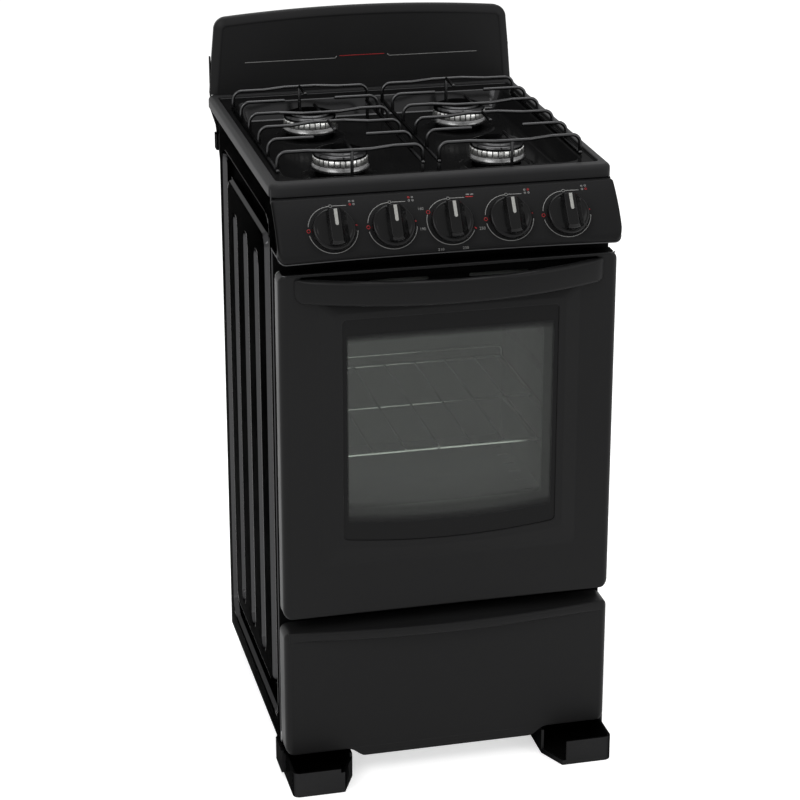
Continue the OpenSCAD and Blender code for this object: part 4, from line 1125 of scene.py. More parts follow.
def splash_ring(inset):
    """Outline of the backsplash seen from the front, with an arched top and leaning sides."""
    taper, crown, arch_steps = 9.0, 12.5, 24
    high = hi("backsplash_front")
    base = RIM_Z + 0.3
    half = high.x - inset
    corner_z = high.z - crown
    r = max(22 - inset, 4)

    def top(x):
        return corner_z + crown * (1 - (x / high.x) ** 2) - inset

    xc = half - taper - r
    a_end = 90 - math.degrees(math.atan(2 * crown * xc / high.x**2))
    xe = xc + r * math.cos(math.radians(a_end))
    zc = top(xe) - r * math.sin(math.radians(a_end))
    right = [(half, base), (half - taper * 0.55, base + (zc - base) * 0.6)] + arc(xc, zc, r, 0, a_end, 10)
    across = [xe - 2 * xe * i / arch_steps for i in range(1, arch_steps)]
    return right + [(x, top(x)) for x in across] + [(-x, z) for x, z in reversed(right)]


class RANGE_OT_backsplash(Operator):
    """Build the arched backsplash with its rolled border, rear housing and printed line"""

    bl_idname = "gas_range.backsplash"
    bl_label = "Backsplash"

    def shell(self, name, node, section, out):
        """Lofts the outline through (inset, depth) pairs and closes it at the end."""
        b = Build()
        ids = b.loft([facing(splash_ring(inset), depth) for inset, depth in section])
        b.cap(ids[-1])
        ob = shape(name, b.verts, b.faces, "backsplash_satin", (0, out, 0), 40)
        rides(thicken(ob, 1.2), "range_body", "cooktop_enamel", node)

    def execute(self, context):
        y = lo("backsplash_front").y
        self.shell(
            "backsplash_face",
            "backsplash_front",
            (
                (0, hi("backsplash_front").y), (0, y + 7.5), (0.8, y + 5.8), (2.2, y + 4.6), (5, y + 2.9),
                (8, y + 1.5), (10, y + 0.7), (11.5, y + 0.3), (13, y + 0.25), (13.6, y + 0.5),
                (14.6, y + 0.9), (16, y + 1),
            ),
            -1,
        )
        back, end = lo("backsplash_back").y, hi("backsplash_back").y
        self.shell(
            "backsplash_housing",
            "backsplash_back",
            ((1.2, back), (1.2, end - 5), (1.7, end - 2.8), (3, end - 1), (5.4, end)),
            1,
        )

        def on_face(u, v):
            return (u, y + 0.95, v)

        z = RIM_Z + 50.6
        grey = [[(-193, z), (-45.5, z), (-42.8, z + 3.2)], [(40.6, z + 3.2), (44.4, z), (191, z)]]
        red = [[(-38, z + 3.5), (36, z + 3.5)]]
        for name, finish, paths in (("splash_line", "print_grey", grey), ("splash_line_red", "print_red", red)):
            b = Build()
            for path in paths:
                stroke(b, path, front().print_line / MM, on_face)
            ob = shape(name, b.verts, b.faces, finish, (0, -1, 0))
            rides(thin(ob), "range_body", "panel_paint")
        return {"FINISHED"}


# ---- control panel ---------------------------------------------------------

# Lean of the knobs' axes, and the panel's curve seen from the side: radius and centre
KNOB_ANGLE = 35.6
PANEL_R = 194.5
PANEL_LO, PANEL_HI = lo("control_panel"), hi("control_panel")
PANEL_CY = 37 + PANEL_R * math.cos(math.radians(51.1))
PANEL_CZ = PANEL_HI.z - PANEL_R * math.sin(math.radians(51.1))
KNOB_PITCH = 86.0
DIAL_R = 35.5


def knob_frame(k):
    """World matrix of a knob's axis: z straight out of the panel, origin on its face."""
    a = math.radians(KNOB_ANGLE)
    out = Vector((0, -math.cos(a), math.sin(a)))
    up = Vector((0, math.sin(a), math.cos(a)))
    m = Matrix((Vector((1, 0, 0)), up, out)).transposed().to_4x4()
    m.translation = (
        (k - 3) * KNOB_PITCH * MM,
        FACE + (PANEL_CY - PANEL_R * math.cos(a)) * MM,
        (PANEL_CZ + PANEL_R * math.sin(a)) * MM,
    )
    return m


def arched(p):
    """Lifts the panel's lower edge a little towards the middle."""
    t = max(0.0, min(1.0, (PANEL_LO.z + 34 - p[2]) / 34))
    return (p[0], p[1], p[2] + 3.5 * (1 - (p[0] / PANEL_HI.x) ** 2) * t * t)


def panel_surface(k):
    """Maps millimetres right and up from a knob's centre onto the curved face."""

    def place(u, v):
        a = math.radians(KNOB_ANGLE) + (v + 2.5) / PANEL_R
        r = PANEL_R + 0.12
        return arched(((k - 3) * KNOB_PITCH + u, PANEL_CY - r * math.cos(a), PANEL_CZ + r * math.sin(a)))

    return place


def stroke(b, path, width, place):
    """Draws a printed line of constant width through 2-D points."""
    dense = []
    for (x0, y0), (x1, y1) in zip(path, path[1:]):
        n = max(1, int(math.hypot(x1 - x0, y1 - y0) / 3))
        dense += [(x0 + (x1 - x0) * i / n, y0 + (y1 - y0) * i / n) for i in range(n)]
    dense.append(path[-1])
    left, right = [], []
    for i, (x, y) in enumerate(dense):
        ax, ay = dense[max(i - 1, 0)]
        bx, by = dense[min(i + 1, len(dense) - 1)]
        d = math.hypot(bx - ax, by - ay) or 1.0
        nx, ny = -(by - ay) / d * width / 2, (bx - ax) / d * width / 2
        left.append(place(x + nx, y + ny))
        right.append(place(x - nx, y - ny))
    b.loft([left, right], closed=False)


def thin(ob):
    """Gives a printed mark the thickness of its ink."""
    mod = ob.modifiers.new("ink", "SOLIDIFY")
    mod.thickness = 0.06 * MM
    mod.offset = 1
    return ob


def numeral(b, text, u, v, height, place):
    """Adds plain figures at a place on the panel, from the built-in font."""
    curve = bpy.data.curves.new("figures", "FONT")
    curve.body = text
    curve.size = height
    curve.align_x = "CENTER"
    curve.align_y = "CENTER"
    curve.resolution_u = 3
    ob = bpy.data.objects.new("figures", curve)
    bpy.context.scene.collection.objects.link(ob)
    bpy.context.view_layer.update()
    mesh = bpy.data.meshes.new_from_object(ob.evaluated_get(bpy.context.evaluated_depsgraph_get()))
    start = len(b.verts)
    for vert in mesh.vertices:
        b.verts.append(place(u + vert.co.x, v + vert.co.y))
    for poly in mesh.polygons:
        b.faces.append(tuple(start + i for i in poly.vertices))
    bpy.data.objects.remove(ob)
    bpy.data.meshes.remove(mesh)


class RANGE_OT_control_panel(Operator):
    """Build the curved control panel and print its dials"""

    bl_idname = "gas_range.control_panel"
    bl_label = "Control panel"

    def section(self, cut, lift):
        """Side outline from the lower back edge round the face to the upper back edge."""
        nose, turn = 12.0, math.radians(48)
        back, low_z, r = PANEL_HI.y, PANEL_LO.z + lift, PANEL_R - cut
        zf = low_z + 3.2 + nose * math.sin(turn)
        low = math.degrees(math.asin((zf - PANEL_CZ) / (r - nose)))
        yf = PANEL_CY - (r - nose) * math.cos(math.radians(low))
        yl = yf - nose * math.cos(turn)
        points = [(back, low_z), (back - 12, low_z), (yl + 5, low_z)]
        points += [(yl + 1.6, low_z + 0.6), (yl + 1.6, low_z + 2.4)]
        points += [(yf - y, zf + z) for y, z in arc(0, 0, nose, -48, low, 9)]
        for i in range(1, 23):
            a = math.radians(low + (50.4 - low) * i / 22)
            points.append((PANEL_CY - r * math.cos(a), PANEL_CZ + r * math.sin(a)))
        yt, zt = points[-1]
        return points + [(yt + 1.2, zt + 1.2), (yt + 3, zt + 1.55), (back, zt + 1.55)]

    def panel(self):
        half, side_r, corner_r = PANEL_HI.x, 7.0, 12.0
        ends = []
        for d in (0, 0.25, 0.9, 1.8, 3, 4.6, 7, 9.2, 12):
            cut = side_r - math.sqrt(max(0.0, side_r**2 - max(0.0, side_r - d) ** 2))
            lift = corner_r - math.sqrt(max(0.0, corner_r**2 - (corner_r - d) ** 2))
            ends.append((half - d, cut, lift))
        inner = half - corner_r
        stations = ends + [(inner - 2 * inner * i / 24, 0, 0) for i in range(1, 24)]
        stations += [(-x, cut, lift) for x, cut, lift in reversed(ends)]
        b = Build()
        rings = [[arched((x, y, z)) for y, z in self.section(cut, lift)] for x, cut, lift in stations]
        b.capped_loft(rings, closed=False)
        ob = shape("control_fascia", b.verts, b.faces, "panel_paint", (0, -1, 0), 40)
        rides(thicken(ob, 2.2), "range_body", "panel_paint", "control_panel")
        for side, name in ((-1, "control_end_left"), (1, "control_end_right")):
            b = Build()
            outline = [arched((side * half, y, z)) for y, z in self.section(side_r, corner_r)]
            b.capped_loft([outline, [(side * (half + 0.12), y, z) for _, y, z in outline]])
            ob = shape(name, b.verts, b.faces, "side_paint", (side, 0, 0), 30)
            rides(ob, "range_body", "panel_paint")
        path = []
        for x, cut, lift in stations[1:-1]:
            y, z = self.section(cut, lift)[4]
            path.append(Vector(arched((x, y - 0.7, z - 0.9))))
        b = Build()
        tube(b, path, 1.3, 10)
        ob = shape("control_lip", b.verts, b.faces, "edge_gloss", (0, -1, 0), 60)
        rides(ob, "range_body", "panel_paint")

    def oven_dial(self, grey, red, width, place):
        r = DIAL_R
        stroke(grey, arc(0, 0, r, 92, 146, 24), width, place)
        stroke(grey, arc(0, 0, r, 160, 334, 60), width, place)
        stroke(grey, [(3.4, r + 0.4), (25, r + 0.2)], width, place)
        stroke(red, arc(-31.6, 16, 2.6, 0, 360, 20), 0.9, place)
        stroke(red, [(32.5, -11), (35.5, -13.6)], 1.6, place)
        stroke(red, [(27, r + 1.2), (38, r + 0.8)], 1.6, place)
        stroke(grey, [(28, r + 5), (33, r + 4.8)], 1.8, place)
        stroke(grey, [(34.5, r + 4.8), (39, r + 4.6)], 1.8, place)
        for text, u, v in (("160", -42, 22), ("190", -43, -9), ("210", -20, -42), ("230", 16, -42), ("250", 44, -14)):
            numeral(grey, text, u, v, 6.2, place)

    def burner_dial(self, grey, red, width, place, hot):
        """A dial and, beside it, the four burners with the one it works in red."""
        r = DIAL_R
        stroke(grey, arc(0, 0, r, 92, 171, 28), width, place)
        stroke(grey, arc(0, 0, r, 192, 353, 60), width, place)
        stroke(grey, [(3.4, r + 0.4), (24, r + 0.1)], width, place)
        stroke(red, arc(-35.2, -0.8, 2.4, 0, 360, 20), 0.9, place)
        stroke(red, [(33.6, 5), (33.2, 2.6), (35.4, 3.6), (33.6, 5)], 0.9, place)
        for i in (0, 1):
            for j in (0, 1):
                mark = arc(29.5 + 5.4 * i, r + 1.2 + 5.2 * j, 1.3, 0, 360, 12)
                stroke(red if (i, j) == hot else grey, mark, 0.8, place)

    def dials(self):
        width = front().print_line / MM
        grey, red = Build(), Build()
        for k, hot in ((1, (0, 0)), (2, (0, 1)), (3, None), (4, (1, 1)), (5, (1, 0))):
            place = panel_surface(k)
            stroke(grey, arc(1, DIAL_R + 0.4, 2.1, 0, 360, 20), 0.8, place)
            if hot:
                self.burner_dial(grey, red, width, place, hot)
            else:
                self.oven_dial(grey, red, width, place)
        for name, b, finish in (("dial_print", grey, "print_grey"), ("dial_print_red", red, "print_red")):
            ob = shape(name, b.verts, b.faces, finish, (0, -1, 0.7))
            rides(thin(ob), "range_body", "panel_paint")

    def execute(self, context):
        self.panel()
        self.dials()
        return {"FINISHED"}


class RANGE_OT_knobs(Operator):
    """Build the five knobs with their grips and pointers"""

    bl_idname = "gas_range.knobs"
    bl_label = "Knobs"

    def knob(self, k):
        m = knob_frame(k)
        r, base, top, grip = 31.5, 4.0, 13.5, 15.0
        b = Build()
        profile = [
            (4, base + 1.5), (27.5, base + 1.5), (28.2, base), (r - 1.4, base), (r - 0.3, base + 0.6),
            (r, base + 2), (r - 0.4, top - 4.2), (r - 1.1, top - 2.4), (r - 2.4, top - 1.1),
            (r - 4.2, top - 0.9), (r - 5.2, top - 1.2), (r - 6, top - 1), (r - 7.5, top - 0.5),
            (18, top - 0.1), (0.01, top),
        ]
        b.loft([level_ring(0, 0, rad, z, ROUND_STEPS) for rad, z in profile])
        disc = shape("knob_disc_%d" % k, b.verts, b.faces, "knob_plastic", angle=40, matrix=m)
        rides(disc, "knob_%d" % k, "knob_plastic", "knob_%d" % k)

        # the grip: a steep wall on the left, a long slope on the right, rounded ends
        b = Build()
        rings = []
        for t in range(11):
            s = t / 10
            h = top - 1.2 + (grip + 1.2) * s
            left, right = 9.9 - 1.3 * s, 20.5 - 13.5 * s**0.75
            reach = 28.4 - 0.8 * s - 3.2 * smoothstep((s - 0.5) / 0.5) ** 1.5
            a0 = math.acos((right - 1.2) / reach)
            a1 = math.acos((1.2 - left) / reach)
            turns = [a0 + (a1 - a0) * i / 16 for i in range(17)]
            end = [(reach * math.cos(a), reach * math.sin(a)) for a in turns]
            upper = [(right, end[0][1] - 2.4)] + end + [(-left, end[-1][1] - 2.4)]
            rings.append([(x, y, h) for x, y in upper] + [(x, -y, h) for x, y in reversed(upper)])
        b.capped_loft(rings)
        ob = shape("knob_grip_%d" % k, b.verts, b.faces, "knob_plastic", angle=40, matrix=m)
        ease(ob, 1.2, 4, 30)
        rides(ob, "knob_%d" % k, "knob_plastic")

        b = Build()
        z = top + grip + 0.08
        outline = [(3.3, 23.4), (-1.5, 23.4)] + arc(0.9, 1.5, 2.4, 180, 360, 10)
        b.capped_loft([[(x, y, z - 0.4) for x, y in outline], [(x, y, z) for x, y in outline]])
        mark = shape("knob_pointer_%d" % k, b.verts, b.faces, "pointer_grey", matrix=m)
        rides(mark, "knob_%d" % k, "knob_plastic")

    def execute(self, context):
        for k in range(1, 6):
            self.knob(k)
        return {"FINISHED"}


# ---- door ------------------------------------------------------------------

# Where the door's lower edge is cut away for a hinge: from x to x, and forward to y
HINGE_NOTCH = (223.0, 238.0)
NOTCH_Y = 12.0


def front_rings(x, z0, z1, back, corner, rx, rz):
    """Rings of a front panel from its back edge, round its edges, to its flat face."""
    outline = rounded(-x, z0, x, z1, corner, CORNER_STEPS)
    normals = []
    for quarter in range(4):
        for i in range(CORNER_STEPS + 1):
            a = math.radians(quarter * 90 + 90 * i / CORNER_STEPS)
            normals.append((math.cos(a), math.sin(a)))
    rings = [facing(outline, back)]
    for k in range(9):
        a = math.radians(90 * k / 8)
        cut, drop = 1 - math.cos(a), 1 - math.sin(a)
        rings.append(
            [
                (px - nx * rx * cut, (rx * nx * nx + rz * nz * nz) * drop, pz - nz * rz * cut)
                for (px, pz), (nx, nz) in zip(outline, normals)
            ]
        )
    return rings


def notched(rings):
    """Points added to the lower edge of each ring, and the back ring cut away at both hinges."""
    inner, outer = HINGE_NOTCH
    half = [inner - 0.4, inner, outer, outer + 0.4]
    at = 3 * (CORNER_STEPS + 1)
    cut = []
    for row, ring in enumerate(rings):
        _, y, z = ring[at]
        extra = []
        for px in [-v for v in reversed(half)] + half:
            inside = row == 0 and inner <= abs(px) <= outer
            extra.append((px, NOTCH_Y if inside else y, z))
        cut.append(ring[:at] + extra + ring[at:])
    return cut


def window_ring(x, z0, z1, sag, r, y):
    """Window outline with its lower edge bowed down by sag, at depth y."""
    low_steps, fade = 20, 40
    pts = arc(x - r, z1 - r, r, 0, 90, 6) + arc(-x + r, z1 - r, r, 90, 180, 6) + arc(-x + r, z0 + r, r, 180, 270, 6)
    pts += [((-x + r) + (2 * x - 2 * r) * i / low_steps, z0) for i in range(1, low_steps)]
    pts += arc(x - r, z0 + r, r, 270, 360, 6)
    out = []
    for px, pz in pts:
        low = max(0.0, min(1.0, 1 - (pz - z0) / fade))
        out.append((px, y, pz - sag * (1 - (px / x) ** 2) * low))
    return out


class RANGE_OT_door(Operator):
    """Build the oven door's outer panel, its recess, its top edge and its handle"""

    bl_idname = "gas_range.door"
    bl_label = "Oven door"

    def pocket(self, grow, y, r):
        """A ring of the recess behind the handle, grown outwards."""
        low, high = lo("door_handle"), hi("door_handle")
        x, z0, z1 = high.x - 7, low.z + 5, high.z + 1.5
        return facing(rounded(-x - grow, z0 - grow, x + grow, z1 + grow, r), y)

    def slots(self, y):
        """Rings of the two air slots in the recess."""
        top = hi("door_handle").z + 1.5
        return [
            facing(rounded(sx * 75 - 45, top - 20.5, sx * 75 + 45, top - 14.5, 2.8, 4), y) for sx in (-1, 1)
        ]

    def surround(self, b):
        """The raised window surround with its rim; returns its outermost ring."""
        rise, sag = front().surround / MM, 11
        glass_lo, glass_hi = lo("door_outer_glass"), hi("door_outer_glass")
        lap = 7.7
        wx, wz1, wz0 = glass_hi.x - lap, glass_hi.z - lap, glass_lo.z + lap + sag
        crease = window_ring(wx + 35, wz0 - 46, lo("door_handle").z - 1, 0, 7, 0)
        flat = window_ring(wx + 9, wz0 - 9, wz1 + 9, sag, 9, -rise)
        steps = []
        for s, lift in ((0, 0), (0.06, 0.012), (0.14, 0.08), (0.86, 0.92), (0.94, 0.985), (1, 1)):
            steps.append(
                [(c[0] + (f[0] - c[0]) * s, -rise * lift, c[2] + (f[2] - c[2]) * s) for c, f in zip(crease, flat)]
            )
        outer = b.loft(steps)
        rim = []
        for k in range(6):
            a = math.radians(18 * k)
            g = 1.6 * (1 - math.sin(a))
            rim.append(window_ring(wx + g, wz0 - g, wz1 + g, sag, 6, -rise + 1.6 * (1 - math.cos(a))))
        rim.append(window_ring(wx, wz0, wz1, sag, 6, -rise + 2.2))
        b.bridge(outer[-1], b.loft(rim)[0])
        return outer[0]

    def panel(self):
        x, z0, z1 = DOOR_HI.x, DOOR_LO.z, DOOR_HI.z
        b = Build()
        face = b.loft(notched(front_rings(x, z0, z1, 30, 13, front().edge / MM, 3.0)))[-1]
        surround = self.surround(b)
        rings = []
        for k in range(5):
            a = math.radians(22.5 * k)
            g = 0.8 * (1 - math.sin(a))
            rings.append(self.pocket(g, 0.8 * (1 - math.cos(a)), 5 + g))
        rings += [self.pocket(0, 9, 5), self.pocket(-0.8, 11.3, 4.4), self.pocket(-2.5, 12, 3.4)]
        pocket = b.loft(rings)
        b.fill(face, surround, pocket[0])
        slots = [b.loft(pair)[0] for pair in zip(self.slots(12), self.slots(14))]
        b.fill(pocket[-1], *slots)
        ob = shape("door_skin", b.verts, b.faces, "door_paint", (0, -1, 0), 40)
        rides(thicken(ob, 1.6), "door", "door_paint", "door_outer_panel")

    def recess(self):
        """A thin black film over the recess behind the handle: painted shade, where the recess lies in the handle's
        shadow.
        """
        # painted shade: this film makes the recess read black
        b = Build()
        ids = b.loft(
            [self.pocket(-g, y, 5 - g) for g, y in ((0.15, 1.0), (0.15, 9), (1.0, 11.0), (2.7, 11.7))]
        )
        b.fill(ids[-1], *[b.ring(hole) for hole in self.slots(11.7)])
        ob = shape("door_recess", b.verts, b.faces, "recess_black", (0, -1, 0), 40)
        mod = ob.modifiers.new("film", "SOLIDIFY")
        mod.thickness = 0.1 * MM
        rides(ob, "door", "door_paint")

    def top_edge(self):
        """A black film on the door's top, painted shade for the dark gap above the door, and a glossy bead along its
        front corner.
        """
        x, z1 = DOOR_HI.x, DOOR_HI.z
        # painted shade: a black film over the door's top, where the gap below the control panel lies in shadow
        b = Build()
        outline = rounded(-x + 6, 5, x - 6, 29, 4)
        b.capped_loft([[(px, py, z) for px, py in outline] for z in (z1 - 0.3, z1 + 0.15)])
        ob = shape("door_top_cap", b.verts, b.faces, "recess_black", (0, 0, 1), 30)
        rides(ob, "door", "door_paint")
        b = Build()
        z = z1 - 1.1
        tube(b, softened([(-x + 4, 6.5, z), (-x + 9, 2.2, z), (x - 9, 2.2, z), (x - 4, 6.5, z)], 12), 1.2, 10)
        ob = shape("door_top_edge", b.verts, b.faces, "edge_gloss", (0, -1, 0), 60)
        rides(ob, "door", "door_paint")

    def handle(self):
        """A bowed band whose ends round off below and, less, above."""
        low, high = lo("door_handle"), hi("door_handle")
        half, reach = high.x, -low.y
        radius = ((half + 9) ** 2 + reach**2) / (2 * reach)
        cy = radius - reach
        thick, low_r, top_r, edge = 14.0, 15, 5, front().handle_edge / MM
        inner = half - low_r
        stations = [half - low_r * (1 - math.cos(math.radians(a))) for a in (0, 12, 24, 36, 48, 60, 75, 90)]
        xs = [-s for s in stations]
        xs += [-inner + 2 * inner * i / 60 for i in range(1, 60)]
        xs += list(reversed(stations))
        rings = []
        for x in xs:
            yi = min(cy - math.sqrt((radius - thick) ** 2 - x**2), -0.15)
            cut = low_r - math.sqrt(max(0.0, low_r**2 - max(0.0, abs(x) - inner) ** 2))
            trim = top_r - math.sqrt(max(0.0, top_r**2 - max(0.0, abs(x) - half + top_r) ** 2))
            a, c = low.z + cut, high.z - trim
            yo = min(cy - math.sqrt(radius**2 - x**2) + cut * 0.35, yi - 1.2)
            r = min(edge, (yi - yo) / 2 * 0.96, (c - a) / 2 * 0.96)
            rings.append([(x, py, pz) for py, pz in rounded(yo, a, yi, c, r, 6)])
        b = Build()
        b.capped_loft(rings)
        ob = shape("handle_band", b.verts, b.faces, "handle_plastic", (0, -1, 0), 60)
        rides(ob, "door", "handle_plastic", "door_handle")

    def execute(self, context):
        self.panel()
        self.recess()
        self.top_edge()
        self.handle()
        soften_node("door_inner_panel", 1.4)
        return {"FINISHED"}


# ---- drawer ----------------------------------------------------------------


class RANGE_OT_drawer(Operator):
    """Build the drawer front with its bowed lip and lower tongue"""

    bl_idname = "gas_range.drawer"
    bl_label = "Drawer"

    def lip(self, z1, bow):
        """A bar along the drawer's top that bows forward in the middle."""
        half, height, top, count = HALF - 6, 16, z1 - 0.2, 60
        radius = (half**2 + bow**2) / (2 * bow)
        turns = [math.radians(a) for a in (0, 22, 45, 68, 90)]
        rings = []
        for i in range(count + 1):
            x = max(-half + 0.6, min(half - 0.6, -half + 2 * half * i / count))
            yo = radius - bow - math.sqrt(radius**2 - x**2)
            nose = min(5.5, max(0.4, 0.2 - yo) * 0.9)
            under = z1 - height
            section = [(3.0, under - 2.0), (0.3, under - 1.0)]
            section += [(yo + nose - nose * math.sin(a), under + nose - nose * math.cos(a)) for a in turns]
            section += [(yo + nose - nose * math.cos(a), top - nose + nose * math.sin(a)) for a in turns]
            section += [(3.0, top)]
            rings.append([(x, y, z) for y, z in section])
        b = Build()
        b.capped_loft(rings)
        ob = shape("drawer_lip", b.verts, b.faces, "door_paint", (0, -1, 0), 50)
        rides(ob, "drawer", "door_paint")

    def tongue(self, z0):
        """The middle part that reaches lower, with eased shoulders."""
        half = HALF - 110
        outline = [(-half - 25, z0 + 6)]
        for s in range(9):
            t = s / 8
            outline.append((-half - 13 + 25 * t, z0 + 0.4 - 13.4 * smoothstep(t)))
        outline += [(-x, z) for x, z in reversed(outline)]
        b = Build()
        b.capped_loft([facing(outline, 0.35), facing(outline, 2.0)])
        ob = shape("drawer_tongue", b.verts, b.faces, "door_paint", (0, -1, 0), 40)
        rides(ob, "drawer", "door_paint")

    def execute(self, context):
        low, high = lo("drawer_front"), hi("drawer_front")
        z0, z1 = low.z + 13, high.z
        b = Build()
        ids = b.loft(front_rings(HALF, z0, z1, high.y, 12, front().edge / MM, 3.0))
        b.cap(ids[-1])
        ob = shape("drawer_skin", b.verts, b.faces, "door_paint", (0, -1, 0), 40)
        rides(thicken(ob, 1.6), "drawer", "door_paint", "drawer_front")
        self.lip(z1, -low.y)
        self.tongue(z0)
        soften_node("drawer_tray", 0.5)
        return {"FINISHED"}


# ---- oven and small parts ----------------------------------------------------


class RANGE_OT_oven_rack(Operator):
    """Bend the rack's frame wire and lay its cross wires"""

    bl_idname = "gas_range.oven_rack"
    bl_label = "Oven rack"

    def execute(self, context):
        low, high = lo("oven_rack"), hi("oven_rack")
        r = 3.0
        x, y0, y1, z = high.x - r, low.y + r, high.y - r, low.z + r
        b = Build()
        loop = [(0, y0, z), (x, y0, z), (x, y1, z), (-x, y1, z), (-x, y0, z), (-1, y0, z)]
        tube(b, softened(loop, 12), r, 12)
        tube(b, [Vector((-x, (y0 + y1) / 2, z)), Vector((x, (y0 + y1) / 2, z))], r - 0.6, 12)
        stop = [(-x, y1, z), (-x, y1, high.z - 2.6), (x, y1, high.z - 2.6), (x, y1, z)]
        tube(b, softened(stop, 8), 2.5, 12)
        ob = shape("rack_frame", b.verts, b.faces, "rack_chrome", (0, 0, 1), 60)
        rides(ob, "oven_rack", "rack_chrome", "oven_rack")
        b = Build()
        tube(b, [Vector((0, y0 - 1.5, z + 2.4)), Vector((0, y1 + 1, z + 2.4))], 1.9, 10)
        wire = shape("rack_wire", b.verts, b.faces, "rack_chrome", angle=60)
        pitch = sizes().rack_pitch
        half = int((x - 20) * MM / pitch)
        start, step = (-half * pitch, 0, 0), (pitch, 0, 0)
        wires = repeated("rack_wires", wire, 2 * half + 1, start, step, 0, "rack_chrome", 60)
        rides(wires, "oven_rack", "rack_chrome")
        return {"FINISHED"}


class RANGE_OT_feet(Operator):
    """Ease the edges of the moulded feet"""

    bl_idname = "gas_range.feet"
    bl_label = "Feet"

    def execute(self, context):
        for end in ("front", "rear"):
            for side in ("left", "right"):
                soften_node("foot_%s_%s" % (end, side), 2.2, segments=4)
        return {"FINISHED"}


class RANGE_OT_sheet_metal(Operator):
    """Ease the edges of the folded brackets, frame and hinges"""

    bl_idname = "gas_range.sheet_metal"
    bl_label = "Sheet metal"

    def execute(self, context):
        for node in ("rear_brackets", "front_frame", "hinge_arms", "hinge_sockets", "drawer_runners", "flue_duct"):
            soften_node(node, 0.35)
        return {"FINISHED"}


# ---- stage -----------------------------------------------------------------


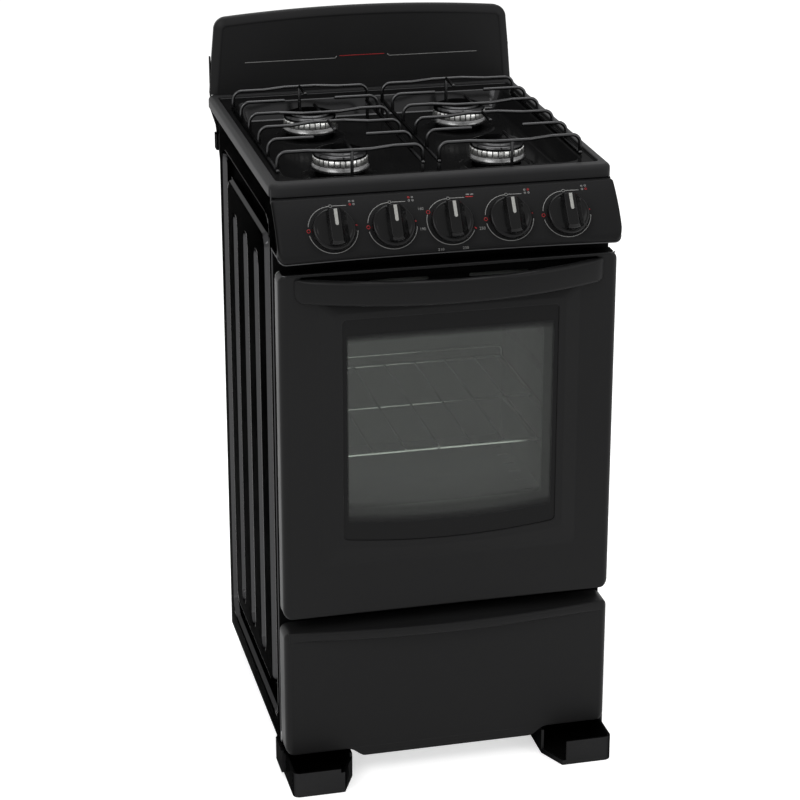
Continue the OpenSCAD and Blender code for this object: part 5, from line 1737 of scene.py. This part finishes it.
class RANGE_OT_stage(Operator):
    """Set the white floor, the soft lamps and the camera"""

    bl_idname = "gas_range.stage"
    bl_label = "Stage"

    def seen(self, tree):
        """1 for rays from the camera, from a mirror or through glass, else 0."""
        path = tree.nodes.new("ShaderNodeLightPath")
        value = path.outputs["Is Camera Ray"]
        for kind in ("Is Glossy Ray", "Is Transmission Ray"):
            larger = tree.nodes.new("ShaderNodeMath")
            larger.operation = "MAXIMUM"
            tree.links.new(value, larger.inputs[0])
            tree.links.new(path.outputs[kind], larger.inputs[1])
            value = larger.outputs["Value"]
        return value

    def floor(self):
        mesh = bpy.data.meshes.new("studio_floor")
        w = 30.0
        mesh.from_pydata([(-w, -w, 0), (w, -w, 0), (w, w, 0), (-w, w, 0)], [], [(0, 1, 2, 3)])
        ob = bpy.data.objects.new("studio_floor", mesh)
        bpy.context.scene.collection.objects.link(ob)
        mat = bpy.data.materials.new("studio_white")
        mat.use_nodes = True
        tree = mat.node_tree
        tree.nodes.clear()
        out = tree.nodes.new("ShaderNodeOutputMaterial")
        matte = tree.nodes.new("ShaderNodeBsdfDiffuse")
        matte.inputs["Color"].default_value = (0.86, 0.86, 0.86, 1)
        glow = tree.nodes.new("ShaderNodeEmission")
        glow.inputs["Strength"].default_value = 0.55
        black = tree.nodes.new("ShaderNodeEmission")
        black.inputs["Strength"].default_value = 0.0
        lamp = tree.nodes.new("ShaderNodeMixShader")
        tree.links.new(self.seen(tree), lamp.inputs["Fac"])
        tree.links.new(black.outputs["Emission"], lamp.inputs[1])
        tree.links.new(glow.outputs["Emission"], lamp.inputs[2])
        add = tree.nodes.new("ShaderNodeAddShader")
        tree.links.new(matte.outputs["BSDF"], add.inputs[0])
        tree.links.new(lamp.outputs["Shader"], add.inputs[1])
        tree.links.new(add.outputs["Shader"], out.inputs["Surface"])
        mesh.materials.append(mat)

    def world(self):
        world = bpy.data.worlds.new("studio_world")
        bpy.context.scene.world = world
        world.use_nodes = True
        tree = world.node_tree
        back = tree.nodes["Background"]
        back.inputs["Color"].default_value = (1, 1, 1, 1)
        level = tree.nodes.new("ShaderNodeMapRange")
        tree.links.new(self.seen(tree), level.inputs["Value"])
        level.inputs["To Min"].default_value = 0.55
        level.inputs["To Max"].default_value = 1.0
        tree.links.new(level.outputs["Result"], back.inputs["Strength"])

    def lamp(self, name, place, aim, size, power):
        data = bpy.data.lights.new(name, "AREA")
        data.shape = "RECTANGLE"
        data.size, data.size_y = size
        data.energy = power
        ob = bpy.data.objects.new(name, data)
        bpy.context.scene.collection.objects.link(ob)
        ob.location = place
        ob.rotation_euler = (Vector(aim) - Vector(place)).to_track_quat("-Z", "Y").to_euler()

    def camera(self):
        data = bpy.data.cameras.new("view_camera")
        data.sensor_width = 36
        data.lens = 112.08
        data.shift_x = -0.06335
        data.shift_y = -0.03643
        data.clip_end = 100
        ob = bpy.data.objects.new("view_camera", data)
        bpy.context.scene.collection.objects.link(ob)
        az, el, roll = math.radians(-14.68), math.radians(20.42), math.radians(0.44)
        distance = 3.6244
        aim = Vector((0, FACE, 0.6492))
        towards = Vector((-math.sin(az) * math.cos(el), math.cos(az) * math.cos(el), -math.sin(el)))
        right = towards.cross(Vector((0, 0, 1))).normalized()
        up = right.cross(towards)
        turn = Matrix(
            (
                right * math.cos(roll) + up * math.sin(roll),
                up * math.cos(roll) - right * math.sin(roll),
                -towards,
            )
        ).transposed().to_4x4()
        turn.translation = aim - towards * distance
        ob.matrix_world = turn
        bpy.context.scene.camera = ob

    def execute(self, context):
        self.camera()
        self.floor()
        self.world()
        self.lamp("key_lamp", (-2.6, -2.6, 3.2), (0, 0, 0.6), (2.4, 2.4), 70)
        self.lamp("fill_lamp", (2.8, -2.4, 2.2), (0, 0, 0.6), (2.4, 2.4), 30)
        self.lamp("top_lamp", (0.2, 0.4, 3.6), (0, 0, 0.9), (2.6, 2.0), 60)
        context.scene.view_settings.view_transform = "Standard"
        return {"FINISHED"}


# ---- panel and run -----------------------------------------------------------

PIECES = (
    RANGE_OT_side_panels,
    RANGE_OT_cooktop,
    RANGE_OT_burners,
    RANGE_OT_grates,
    RANGE_OT_backsplash,
    RANGE_OT_control_panel,
    RANGE_OT_knobs,
    RANGE_OT_door,
    RANGE_OT_drawer,
    RANGE_OT_oven_rack,
    RANGE_OT_feet,
    RANGE_OT_sheet_metal,
)


class RANGE_PT_dresser(Panel):
    """Lists the range's sizes, colours and pieces"""

    bl_label = "Gas Range"
    bl_idname = "RANGE_PT_dresser"
    bl_space_type = "VIEW_3D"
    bl_region_type = "UI"
    bl_category = "Gas Range"

    def draw(self, context):
        layout = self.layout
        scene = context.scene
        for title, group in (
            ("Sizes", scene.range_sizes),
            ("Front", scene.front_sizes),
            ("Colours", scene.range_colours),
        ):
            box = layout.box()
            box.label(text=title)
            for key in group.bl_rna.properties.keys():
                if key not in ("rna_type", "name"):
                    box.prop(group, key)
        column = layout.column(align=True)
        column.operator(RANGE_OT_stage.bl_idname)
        for cls in PIECES:
            column.operator(cls.bl_idname)


CLASSES = (RangeSizes, FrontSizes, RangeColours, RANGE_OT_stage, *PIECES, RANGE_PT_dresser)


def register():
    for cls in CLASSES:
        bpy.utils.register_class(cls)
    bpy.types.Scene.range_sizes = PointerProperty(type=RangeSizes)
    bpy.types.Scene.front_sizes = PointerProperty(type=FrontSizes)
    bpy.types.Scene.range_colours = PointerProperty(type=RangeColours)


def unregister():
    del bpy.types.Scene.range_colours
    del bpy.types.Scene.front_sizes
    del bpy.types.Scene.range_sizes
    for cls in reversed(CLASSES):
        bpy.utils.unregister_class(cls)


def main():
    register()
    bpy.ops.gas_range.stage()
    build_finishes()
    for cls in PIECES:
        group, name = cls.bl_idname.split(".")
        getattr(getattr(bpy.ops, group), name)()


if __name__ == "__main__":
    main()
